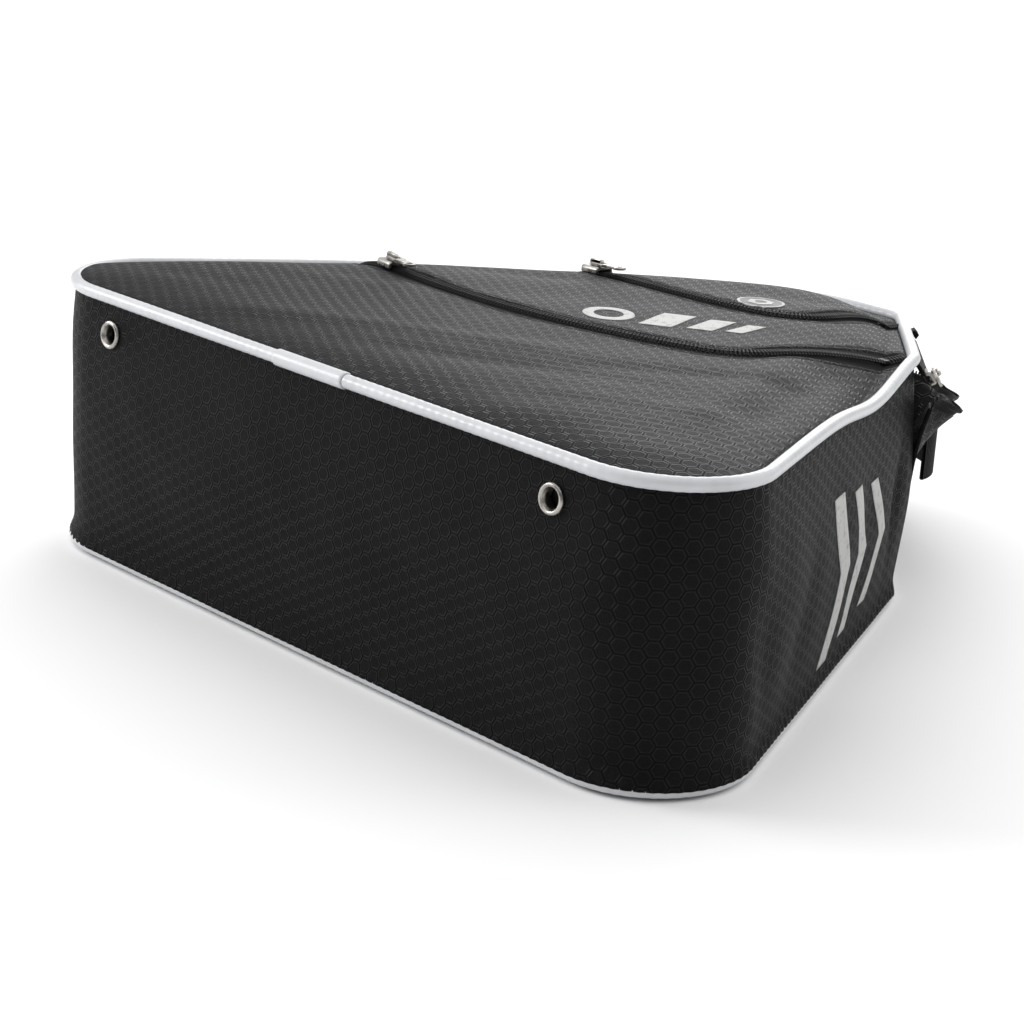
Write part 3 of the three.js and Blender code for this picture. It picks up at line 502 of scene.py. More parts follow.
class ShaderKit:
    """One material's node tree, with short calls for the nodes that the finishes use."""

    def __init__(self, name: str) -> None:
        """Start a material with the principled shader."""
        self.material = bpy.data.materials.new(name)
        self.material.use_nodes = True
        self.tree = self.material.node_tree
        self.shader = self.tree.nodes["Principled BSDF"]

    def put(self, value: object, socket: bpy.types.NodeSocket) -> None:
        """Link a socket to an input, or set the input to a plain value."""
        if isinstance(value, bpy.types.NodeSocket):
            self.tree.links.new(value, socket)
        else:
            socket.default_value = value

    def math(self, operation: str, *values: object) -> bpy.types.NodeSocket:
        """Arithmetic on numbers."""
        node = self.tree.nodes.new("ShaderNodeMath")
        node.operation = operation
        for value, socket in zip(values, node.inputs):
            self.put(value, socket)
        return node.outputs[0]

    def vector(self, operation: str, *values: object, scale: object = None) -> bpy.types.NodeSocket:
        """Arithmetic on vectors; dot products and lengths give a number."""
        node = self.tree.nodes.new("ShaderNodeVectorMath")
        node.operation = operation
        for value, socket in zip(values, node.inputs):
            self.put(value, socket)
        if scale is not None:
            self.put(scale, node.inputs["Scale"])
        return node.outputs["Value" if operation in ("DOT_PRODUCT", "LENGTH") else "Vector"]

    def cloth_lengths(self) -> tuple[bpy.types.NodeSocket, bpy.types.NodeSocket]:
        """The two cloth lengths of the piece's own map, in metres."""
        uv = self.tree.nodes.new("ShaderNodeUVMap")
        uv.uv_map = CLOTH_UV
        return self.parts(uv.outputs[0])[:2]

    def parts(self, vector: bpy.types.NodeSocket) -> list[bpy.types.NodeSocket]:
        """The x, y and z of a vector."""
        node = self.tree.nodes.new("ShaderNodeSeparateXYZ")
        self.put(vector, node.inputs[0])
        return list(node.outputs)

    def joined(self, x: object, y: object, z: object) -> bpy.types.NodeSocket:
        """A vector of three numbers."""
        node = self.tree.nodes.new("ShaderNodeCombineXYZ")
        for value, socket in zip((x, y, z), node.inputs):
            self.put(value, socket)
        return node.outputs[0]

    def place(self) -> bpy.types.NodeSocket:
        """The point on the object, in metres."""
        return self.tree.nodes.new("ShaderNodeTexCoord").outputs["Object"]

    def noise(self, where: object, scale: float, detail: float = 2.0) -> bpy.types.NodeSocket:
        """Soft noise between 0 and 1 with a scale per metre."""
        node = self.tree.nodes.new("ShaderNodeTexNoise")
        self.put(where, node.inputs["Vector"])
        self.put(scale, node.inputs["Scale"])
        self.put(detail, node.inputs["Detail"])
        return node.outputs["Fac"]

    def step(self, value: object, low: float, high: float, start: float = 0.0,
             end: float = 1.0) -> bpy.types.NodeSocket:
        """Smooth step of a number from start to end as it goes from low to high."""
        node = self.tree.nodes.new("ShaderNodeMapRange")
        node.interpolation_type = "SMOOTHSTEP"
        for number, socket in zip((value, low, high, start, end), node.inputs):
            self.put(number, socket)
        return node.outputs[0]

    def tint(self, share: object, low: tuple, high: tuple) -> bpy.types.NodeSocket:
        """Colour between two colours."""
        node = self.tree.nodes.new("ShaderNodeMix")
        node.data_type = "RGBA"
        self.put(share, node.inputs[0])
        self.put((*low, 1.0), node.inputs[6])
        self.put((*high, 1.0), node.inputs[7])
        return node.outputs[2]

    def bump(self, height: object, distance: float, strength: float = 1.0) -> None:
        """Relief on the shader's normal, distance in millimetres for a height of one."""
        node = self.tree.nodes.new("ShaderNodeBump")
        self.put(height, node.inputs["Height"])
        self.put(distance * MM, node.inputs["Distance"])
        self.put(strength, node.inputs["Strength"])
        self.tree.links.new(node.outputs[0], self.shader.inputs["Normal"])

    def set(self, **values: object) -> None:
        """Set or link the shader's inputs, underscores standing for spaces."""
        for name, value in values.items():
            if isinstance(value, tuple):
                value = (*value, 1.0)
            self.put(value, self.shader.inputs[name.replace("_", " ")])


def darker(colour: tuple[float, float, float], share: float) -> tuple[float, float, float]:
    """A colour scaled by a share."""
    return tuple(part * share for part in colour)


@dataclass(frozen=True)
class Finish:
    """A material: its name, its slot in the record and its plain values."""

    name: str
    slot: str
    colour: tuple[float, float, float]
    roughness: float = 0.5

    def dress(self, kit: ShaderKit) -> None:
        """Set the shader up; each finish adds its own detail."""
        kit.set(Base_Color=self.colour, Roughness=self.roughness)

    def material(self) -> bpy.types.Material:
        """The material, made the first time it is asked for."""
        if self.name not in bpy.data.materials:
            kit = ShaderKit(self.name)
            self.dress(kit)
        return bpy.data.materials[self.name]


@dataclass(frozen=True)
class HoneycombCloth(Finish):
    """Jacquard cloth of hexagonal cells with corded borders over a fine diagonal weave."""

    cell: float = 5.8
    yarn: float = 1.0
    relief: float = 0.42
    gloss: float = 0.06

    def border(self, kit: ShaderKit, u: object, v: object) -> bpy.types.NodeSocket:
        """Distance from the cell's border as a share of the cell, 0 on it and 0.5 inside.

        Two staggered rectangular grids hold the cell centres.  The nearer centre wins, and the
        distance to a regular hexagon round it is the larger of its two side projections.
        """
        row = (1.0, math.sqrt(3.0), 1.0)
        half = (0.5, math.sqrt(0.75), 0.5)
        size = 1.0 / (self.cell * MM)
        far = 100.0
        grid = kit.joined(
            kit.math("MULTIPLY_ADD", v, size, far),
            kit.math("MULTIPLY_ADD", u, size, far * row[1]), 0.5)
        shifted = kit.vector("SUBTRACT", grid, (half[0], half[1], 0.0))
        one, two = (
            kit.vector("SUBTRACT", kit.vector("MODULO", start, row), half)
            for start in (grid, shifted))
        nearer = kit.math(
            "LESS_THAN", kit.vector("LENGTH", one), kit.vector("LENGTH", two))
        step = kit.vector("SCALE", kit.vector("SUBTRACT", one, two), scale=nearer)
        arm = kit.vector("ABSOLUTE", kit.vector("ADD", two, step))
        slanted = kit.vector("DOT_PRODUCT", arm, (0.5, math.sqrt(0.75), 0.0))
        return kit.math("SUBTRACT", 0.5, kit.math("MAXIMUM", kit.parts(arm)[0], slanted))

    def dress(self, kit: ShaderKit) -> None:
        """Cords along each border, a groove between cells, weave inside and faint wear; the colour
        is painted darker in the grooves as shade and lighter on the cords as highlight.
        """
        u, v = kit.cloth_lengths()
        edge = self.border(kit, u, v)
        groove = kit.step(edge, 0.0, 0.05)
        rise = kit.step(edge, 0.03, 0.09)
        fall = kit.step(edge, 0.1, 0.17, 1.0, 0.0)
        cord = kit.math("MULTIPLY", rise, fall)
        turn = 2 * math.pi / (self.yarn * MM)
        one = kit.math("SINE", kit.math("MULTIPLY", kit.math("ADD", u, v), turn))
        two = kit.math("SINE", kit.math("MULTIPLY", kit.math("SUBTRACT", u, v), turn))
        weave = kit.math("MULTIPLY", kit.math("MULTIPLY", one, two), kit.step(edge, 0.12, 0.2))
        height = kit.math("MULTIPLY_ADD", cord, 0.55, kit.math("MULTIPLY", groove, 0.45))
        height = kit.math("MULTIPLY_ADD", weave, 0.22, height)
        cloud = kit.noise(kit.place(), 28.0, 4.0)
        # Painted shade and highlight: the colour is darker in the grooves between cells for their
        # shade and lighter on the cords for the light they catch; the cloud noise is random tone.
        painted_shading_and_tone = kit.math("MULTIPLY", kit.step(cloud, 0.25, 0.75, 0.55, 1.0), kit.math(
            "MULTIPLY_ADD", cord, 0.3, kit.math("MULTIPLY", groove, 0.7)))
        kit.set(
            Base_Color=kit.tint(painted_shading_and_tone, darker(self.colour, 0.45), self.colour),
            Roughness=kit.step(cord, 0.0, 1.0, self.roughness, self.roughness - 0.14),
            Specular_IOR_Level=kit.step(cord, 0.0, 1.0, self.gloss, self.gloss * 2.0))
        kit.bump(height, self.relief)


class Weave(Enum):
    """Ways that narrow cloths are woven."""

    PLAIN = "plain"
    HERRINGBONE = "herringbone"
    RIBBED = "ribbed"


@dataclass(frozen=True)
class NarrowCloth(Finish):
    """Tape, webbing or lining: rows of yarn that cross plainly, zigzag or stand as ribs."""

    weave: Weave = Weave.PLAIN
    yarn: float = 0.9
    relief: float = 0.2

    def dress(self, kit: ShaderKit) -> None:
        """Product of two sines for plain cloth; a zigzag or a bare sine for the others."""
        u, v = kit.cloth_lengths()
        turn = 2 * math.pi / (self.yarn * MM)
        across = kit.math("MULTIPLY", v, turn)
        if self.weave is Weave.HERRINGBONE:
            zigzag = kit.math("PINGPONG", v, 1.6 * MM)
            rows = kit.math("SINE", kit.math("MULTIPLY", kit.math("ADD", u, zigzag), turn))
        elif self.weave is Weave.RIBBED:
            rows = kit.math("MULTIPLY_ADD", kit.math("SINE", across), 0.3, kit.math(
                "SINE", kit.math("MULTIPLY", u, turn)))
        else:
            rows = kit.math("MULTIPLY", kit.math("SINE", across), kit.math(
                "SINE", kit.math("MULTIPLY", u, turn)))
        height = kit.step(rows, -1.0, 1.0)
        cloud = kit.noise(kit.place(), 60.0, 3.0)
        # Painted shade: the colour is darker in the low parts of the weave, standing in for the
        # shade between the yarns; the cloud noise is random tone.
        painted_shading_and_tone = kit.math("MULTIPLY", height, kit.step(cloud, 0.2, 0.8, 0.6, 1.0))
        kit.set(
            Base_Color=kit.tint(painted_shading_and_tone, darker(self.colour, 0.4), self.colour),
            Roughness=self.roughness, Specular_IOR_Level=0.12)
        kit.bump(height, self.relief)


@dataclass(frozen=True)
class Moulded(Finish):
    """Vinyl or nylon: a smooth skin with fine grain and a little soiling."""

    grain: float = 0.03
    coat: float = 0.0
    gloss: float = 0.5

    def dress(self, kit: ShaderKit) -> None:
        """Noise in three sizes for grain, gloss and colour."""
        place = kit.place()
        fine = kit.noise(place, 2600.0, 2.0)
        broad = kit.noise(place, 70.0, 4.0)
        kit.set(
            Base_Color=kit.tint(kit.step(broad, 0.3, 0.7), darker(self.colour, 0.9), self.colour),
            Roughness=kit.step(broad, 0.2, 0.8, self.roughness - 0.06, self.roughness + 0.08),
            Coat_Weight=self.coat, Coat_Roughness=0.15, Specular_IOR_Level=self.gloss)
        kit.bump(fine, self.grain)


@dataclass(frozen=True)
class Plated(Finish):
    """Plated metal with fine scratches and duller patches."""

    def dress(self, kit: ShaderKit) -> None:
        """Stretched noise for scratches and broad noise for dull patches."""
        place = kit.place()
        streaks = kit.noise(kit.vector("MULTIPLY", place, (1.0, 6.0, 1.0)), 1500.0, 3.0)
        dull = kit.noise(place, 220.0, 4.0)
        kit.set(
            Base_Color=kit.tint(kit.step(dull, 0.3, 0.7), darker(self.colour, 0.55), self.colour),
            Metallic=1.0,
            Roughness=kit.step(dull, 0.25, 0.75, self.roughness - 0.08, self.roughness + 0.15))
        kit.bump(streaks, 0.02)


@dataclass(frozen=True)
class Ink(Finish):
    """Flat ink printed on the cloth, which shows the weave through and wears thin in spots."""

    def dress(self, kit: ShaderKit) -> None:
        """Fine crossed sines for the weave and noise for the worn spots."""
        u, v = kit.cloth_lengths()
        turn = 2 * math.pi / MM
        weave = kit.math("MULTIPLY", kit.math("SINE", kit.math("MULTIPLY", u, turn)), kit.math(
            "SINE", kit.math("MULTIPLY", v, turn)))
        worn = kit.noise(kit.place(), 420.0, 4.0)
        kit.set(
            Base_Color=kit.tint(kit.step(worn, 0.28, 0.5), darker(self.colour, 0.6), self.colour),
            Roughness=self.roughness)
        kit.bump(weave, 0.05)


@dataclass(frozen=True)
class Finishes:
    """Every finish on the bag."""

    # Painted light: the front cloth and the wall cloth are one cloth, and the front's colour is
    # painted lighter than the wall's for the light that the top face catches.
    front_cloth_painted_lighter: Finish = HoneycombCloth(
        "front cloth painted lighter", "honeycomb_cloth", (0.025, 0.025, 0.027), 0.5)
    wall_cloth: Finish = HoneycombCloth(
        "wall cloth", "honeycomb_cloth", (0.0105, 0.0105, 0.0112), 0.52, gloss=0.045)
    lining: Finish = NarrowCloth("grey lining", "lining_cloth", (0.07, 0.07, 0.072), 0.8)
    piping: Finish = Moulded("silver piping", "piping_vinyl", (0.6, 0.61, 0.63), 0.36, 0.03, 0.1)
    tape: Finish = NarrowCloth(
        "zip tape cloth", "zip_tape", (0.014, 0.014, 0.015), 0.75, Weave.HERRINGBONE, 0.8)
    coil: Finish = Moulded("zip coil nylon", "zip_coil", (0.008, 0.008, 0.009), 0.4, 0.01,
        gloss=0.15)
    nickel: Finish = Plated("aged nickel", "nickel", (0.5, 0.48, 0.45), 0.3)
    dark_nickel: Finish = Plated("dark nickel", "nickel", (0.05, 0.05, 0.05), 0.5)
    foam: Finish = NarrowCloth("back pad cloth", "foam", (0.06, 0.06, 0.062), 0.9, Weave.PLAIN, 1.6)
    board: Finish = Moulded("stiffener board", "board", (0.016, 0.016, 0.017), 0.55)
    webbing: Finish = NarrowCloth(
        "black webbing", "webbing", (0.014, 0.014, 0.015), 0.7, Weave.RIBBED, 1.5, 0.35)
    thread: Finish = Moulded("black thread", "honeycomb_cloth", (0.014, 0.014, 0.015), 0.5,
        gloss=0.15)
    ink: Finish = Ink("silver ink", "silver_print", (0.44, 0.44, 0.43), 0.5)
    dark_ink: Finish = Ink("dark ink", "silver_print", (0.12, 0.12, 0.12), 0.5)


# ---------- zips ----------


@dataclass
class Route:
    """Curved path of a pocket zip: a long shallow arc, a tight bend and a straight run."""

    centre_x: float
    sag_y: float
    radius: float
    start_x: float
    end_x: float
    bend: float
    target: tuple[float, float]
    past: float = 60.0
    step: float = 0.4

    def line(self, past: float = 0.0) -> tuple[Array, Array]:
        """Closely spaced plane points and headings, run on past both ends if asked.

        The arc's heading is its angle from the lowest point.  The bend turns about a hub until
        its tangent passes through the target.
        """
        a0, a1 = (math.asin((x - self.centre_x) / self.radius) for x in (self.start_x, self.end_x))
        arc = np.linspace(a0, a1, int((a1 - a0) * self.radius / self.step))
        long = np.stack([
            self.centre_x + self.radius * np.sin(arc),
            self.sag_y + self.radius * (1 - np.cos(arc))], -1)
        hub = long[-1] + self.bend * np.array([-math.sin(a1), math.cos(a1)])
        way = np.array(self.target) - hub
        straight = math.sqrt(way @ way - self.bend**2)
        last = math.atan2(way[1], way[0]) + math.atan2(self.bend, straight)
        turn = np.linspace(a1, last, int((last - a1) * self.bend / self.step))[1:]
        tight = hub + self.bend * np.stack([np.sin(turn), -np.cos(turn)], -1)
        run = np.linspace(0, straight + past, int((straight + past) / self.step))[1:, None]
        end = tight[-1] + run * np.array([math.cos(last), math.sin(last)])
        lead = np.arange(-past, 0.0, self.step)[:, None]
        start = long[0] + lead * np.array([math.cos(a0), math.sin(a0)])
        heading = np.concatenate([
            np.full(len(start), a0), arc, turn, np.full(len(end), last)])
        return np.concatenate([start, long, tight, end]), heading

    def beside(self, offset: float, past: float = 0.0) -> Array:
        """The path moved sideways, to the left of its heading where offset is positive."""
        points, heading = self.line(past)
        return points + offset * np.stack([-np.sin(heading), np.cos(heading)], -1)

    def edge_line(self, outline: Outline, offset: float, inset: float, count: int) -> Array:
        """A panel's edge along the zip, from rim to rim at an inset inside the outline."""
        points = self.beside(offset, self.past)
        inside = outline.depth(points[:, 0], points[:, 1]) > inset
        middle = len(points) // 2
        first = middle - np.argmin(inside[middle::-1]) + 1
        last = middle + np.argmin(inside[middle:]) - 1
        return resample(points[first:last + 1], count)


LOWER_ROUTE = Route(-40.0, 118.0, 260.0, -127.0, 59.0, 28.0, (86.0, 222.0))
UPPER_ROUTE = Route(-30.0, 206.0, 260.0, -95.0, 24.0, 24.0, (38.5, 281.0))


@dataclass
class Coil:
    """Nylon coil of a zip: loops that cross the chain from both sides and mesh in the middle."""

    finish: Finish
    pitch: float = 1.6
    half: float = 2.7
    wire: float = 0.42
    crown: float = 0.95

    def teeth(self, path: Array, up: Array, sides: tuple[int, ...] = (-1, 1)) -> Array:
        """Grids of every tooth.

        Each tooth is a round wire along a low arch, half(1 - t) out and crown sin(2.6 t) up, from
        its tape to just past the middle, and the two sides are half a pitch apart.

        Args:
            path: (n, 3) chain centre.
            up: (n, 3) directions off the cloth.
            sides: which sides have teeth.

        Returns:
            (k, steps, ring, 3) grids.
        """
        t = np.linspace(-0.05, 1.12, 7)
        out, rise = self.half * (1 - t), self.crown * np.sin(2.6 * np.clip(t, 0, 1))
        ring = circle(self.wire, 6)
        grids = []
        for number, way in enumerate(sides):
            start = 1.0 + number * self.pitch / 2
            at, a, b, c = along_path(path, up, start, self.pitch, 1.0)
            centre = (at[:, None] + (way * out)[None, :, None] * b[:, None]
                      + (rise - 0.1)[None, :, None] * c[:, None])
            tilt = unit(np.gradient(centre, axis=1))
            normal = unit(np.cross(a[:, None], tilt))
            grids.append(centre[:, :, None] + ring[None, None, :, :1] * a[:, None, None]
                         + ring[None, None, :, 1:] * normal[:, :, None])
        return np.concatenate(grids)

    def build(self, name: str, path: Array, up: Array, sides: tuple[int, ...] = (-1, 1)
              ) -> bpy.types.Object:
        """One mesh of all the teeth, their faces outwards."""
        grids = self.teeth(path, up, sides)
        middle = grids.mean(2, keepdims=True)
        return mesh_piece(name, grids, grids - middle, self.finish, wrap=(False, True), caps=True)


@dataclass
class Stitching:
    """A row of short sunk thread stitches."""

    finish: Finish
    pitch: float = 3.4
    length: float = 2.4
    radius: float = 0.27

    def build(self, name: str, path: Array, up: Array) -> bpy.types.Object:
        """Each stitch is a stretched sphere: length along the row, radius across it."""
        at, a, b, c = (
            part[:, None, None]
            for part in along_path(path, up, self.pitch, self.pitch, self.pitch))
        tilt = np.linspace(0.12, np.pi - 0.12, 5)[:, None]
        turn = np.linspace(0, 2 * np.pi, 6, endpoint=False)[None]
        x, y, z = (part[None, ..., None] for part in (
            np.cos(tilt) * self.length / 2 + 0 * turn, np.sin(tilt) * np.cos(turn) * self.radius,
            np.sin(tilt) * np.sin(turn) * self.radius))
        offset = a * x + b * y + c * z
        return mesh_piece(name, at + offset, offset, self.finish, wrap=(False, True), caps=True)


@dataclass
class PocketZip:
    """A pocket zip on the front face: tapes, coil, stops, slider and pull."""

    name: str
    route: Route
    form: FaceForm
    finishes: Finishes
    tape_inner: float = 0.25
    tape_outer: float = 8.6
    tape_drop: float = 0.5

    def over(self, plane: Array, lift: float) -> Array:
        """Plane points raised to a height over the bare face."""
        z = self.form.bare(plane[:, 0], plane[:, 1]) + lift
        return np.column_stack([plane, z])

    def tape(self, word: str, side: int) -> None:
        """Tape from beside the coil to under the panel's hem, its weave along the zip."""
        offsets = np.linspace(self.tape_inner, self.tape_outer, 7) * side
        rows = np.stack([
            self.over(self.route.edge_line(self.form.outline, offset, 1.4, 300), -self.tape_drop)
            for offset in offsets], 1)
        length = np.linspace(0, len(rows), len(rows))[:, None]
        uv = np.stack(np.broadcast_arrays(length, offsets[None]), -1)
        piece = thicken(mesh_piece(
            f"{self.name}_tape_{word}", rows, UP, self.finishes.tape, uv), 0.6)
        fit(piece, "case", "zip_tape", f"{self.name}_zip_tape_{word}")

    def build(self) -> None:
        """Make and place every piece of the zip."""
        self.tape("near", -1)
        self.tape("far", 1)
        chain = self.over(self.route.edge_line(self.form.outline, 0.0, 2.4, 700), 0.0)
        up = np.broadcast_to(UP, chain.shape)
        coil = Coil(self.finishes.coil).build(f"{self.name}_coil", chain, up)
        fit(coil, "case", "zip_coil", f"{self.name}_zip_coil")
        for end in ("left", "right"):
            node = f"{self.name}_zip_stop_{end}"
            fit(rounded_copy(node, f"{self.name}_stop_{end}", self.finishes.dark_nickel, 0.35),
                "case", "nickel", node)
        for part, width in (("slider", 0.5), ("pull", 0.32)):
            node = f"{self.name}_zip_{part}"
            fit(rounded_copy(node, f"{self.name}_{part}_metal", self.finishes.nickel, width),
                f"{self.name}_{part}", "nickel", node)


# ---------- front face ----------


@dataclass
class FrontFace:
    """The three padded panels of the front face, the two pocket linings and the hems."""

    form: FaceForm
    finishes: Finishes
    hem: float = 6.1
    rim: float = 1.6
    thickness: float = 2.0
    stitch: float = 2.7
    lining_inset: float = 9.0
    lining_drop: float = 10.1
    routes: tuple[Route, Route] = (LOWER_ROUTE, UPPER_ROUTE)

    def height(self, x: Array, y: Array) -> Array:
        """Face height with hems rolled down at the zips, a stitch line and a tucked rim."""
        plane = np.stack([x.ravel(), y.ravel()], -1)
        lines = np.concatenate([route.line(route.past)[0][::2] for route in self.routes])
        d = nearest(plane, lines).reshape(x.shape) - self.hem
        rim = self.form.outline.depth(x, y) - self.rim
        roll = -1.1 * hump(d, 0.8) + 0.3 * np.exp(-np.maximum(d, 0) / 7.0)
        line = -0.4 * hump(d - self.stitch, 0.55)
        tuck = -1.3 * hump(rim, 1.6)
        fade = smooth(rim / 6.0)
        return self.form.front(x, y) + (roll + line) * fade + tuck

    def panel(self, name: str, node: str, inner: Array, outer: Array, across: int) -> None:
        """A panel ruled in plan from its zip edge to its far edge, closer rows at both.

        Args:
            name: piece name.
            node: the frame node that it stands for.
            inner: (n, 2) edge along a zip.
            outer: (n, 2) opposite edge, in the same sense.
            across: points from one edge to the other.
        """
        t = (1 - np.cos(np.linspace(0, np.pi, across))) / 2
        plan = inner[:, None] + (outer - inner)[:, None] * t[None, :, None]
        x, y = plan[..., 0], plan[..., 1]
        points = np.dstack([x, y, self.height(x, y)])
        piece = thicken(mesh_piece(
            name, points, UP, self.finishes.front_cloth_painted_lighter, plan), self.thickness)
        fit(piece, "case", "honeycomb_cloth", node)

    def rim_line(self, start: Array, end: Array, lap: float, count: int) -> Array:
        """Inset outline from the place nearest start to the place nearest end."""
        outline = self.form.outline
        s = np.linspace(outline.nearest_s(start) - lap, outline.nearest_s(end), count)
        return outline.inset(s, self.rim)

    def panels(self) -> None:
        """Lay out the edges and make the three panels."""
        outline = self.form.outline
        count = 420
        low, band_low = (
            LOWER_ROUTE.edge_line(outline, side * self.hem, self.rim, count) for side in (-1, 1))
        band_high, high = (
            UPPER_ROUTE.edge_line(outline, side * self.hem, self.rim, count) for side in (-1, 1))
        self.panel("lower_front_cloth", "front_lower_panel", low,
                   self.rim_line(low[0], low[-1], outline.length, count), 108)
        self.panel("band_front_cloth", "front_band_panel", band_low, band_high, 70)
        self.panel("upper_front_cloth", "front_upper_panel", high,
                   self.rim_line(high[0], high[-1], 0.0, count), 84)

    def hem_stitches(self) -> None:
        """A row of stitches along each side of both zips."""
        row = Stitching(self.finishes.thread)
        for word, route in zip(("lower", "upper"), self.routes):
            for side, place in ((-1, "near"), (1, "far")):
                line = route.edge_line(
                    self.form.outline, side * (self.hem + self.stitch), 5.0, 700)
                z = self.height(line[:, 0], line[:, 1])
                path = np.column_stack([line, z + 0.1])
                up = np.broadcast_to(UP, path.shape)
                piece = row.build(f"{word}_hem_stitches_{place}", path, up)
                fit(piece, "case", "honeycomb_cloth")

    def lining(self, name: str, node: str, low: Array, high: Array) -> None:
        """A thin lining sheet ruled between two plane lines, under the panels."""
        t = np.linspace(0, 1, 60)
        plan = low[:, None] + (high - low)[:, None] * t[None, :, None]
        x, y = plan[..., 0], plan[..., 1]
        z = self.form.bare(x, y) - self.lining_drop + 0.5 * np.sin(x / 14) * np.sin(y / 11)
        sheet = thicken(mesh_piece(
            name, np.dstack([x, y, z]), UP, self.finishes.lining, plan), 0.7)
        fit(sheet, "case", "lining_cloth", node)

    def linings(self) -> None:
        """Both pocket linings, parted along the middle of the band."""
        outline = self.form.outline
        part, part_above = (
            LOWER_ROUTE.edge_line(outline, offset, self.lining_inset, 260)
            for offset in (20.0, 20.6))
        rims = []
        for line, lap in ((part, outline.length), (part_above, 0.0)):
            s = np.linspace(outline.nearest_s(line[0]) - lap, outline.nearest_s(line[-1]), 260)
            rims.append(outline.inset(s, self.lining_inset))
        self.lining("lower_pocket_lining", "lower_pocket_liner", part, rims[0])
        self.lining("upper_pocket_lining", "upper_pocket_liner", part_above, rims[1])

    def build(self) -> None:
        """Make and place the whole front face."""
        self.panels()
        self.hem_stitches()
        self.linings()


# ---------- walls ----------


@dataclass(frozen=True)
class Dent:
    """A soft hollow in the wall, or a bulge where deep is negative."""

    s: float
    z: float
    deep: float
    wide: float
    tall: float
    lean: float = 0.0

    def depth(self, s: Array, z: Array) -> Array:
        """Bell in both ways, its middle leaning along the wall with height."""
        across = s - self.s - self.lean * (z - self.z)
        return self.deep * hump(across, self.wide) * hump(z - self.z, self.tall)


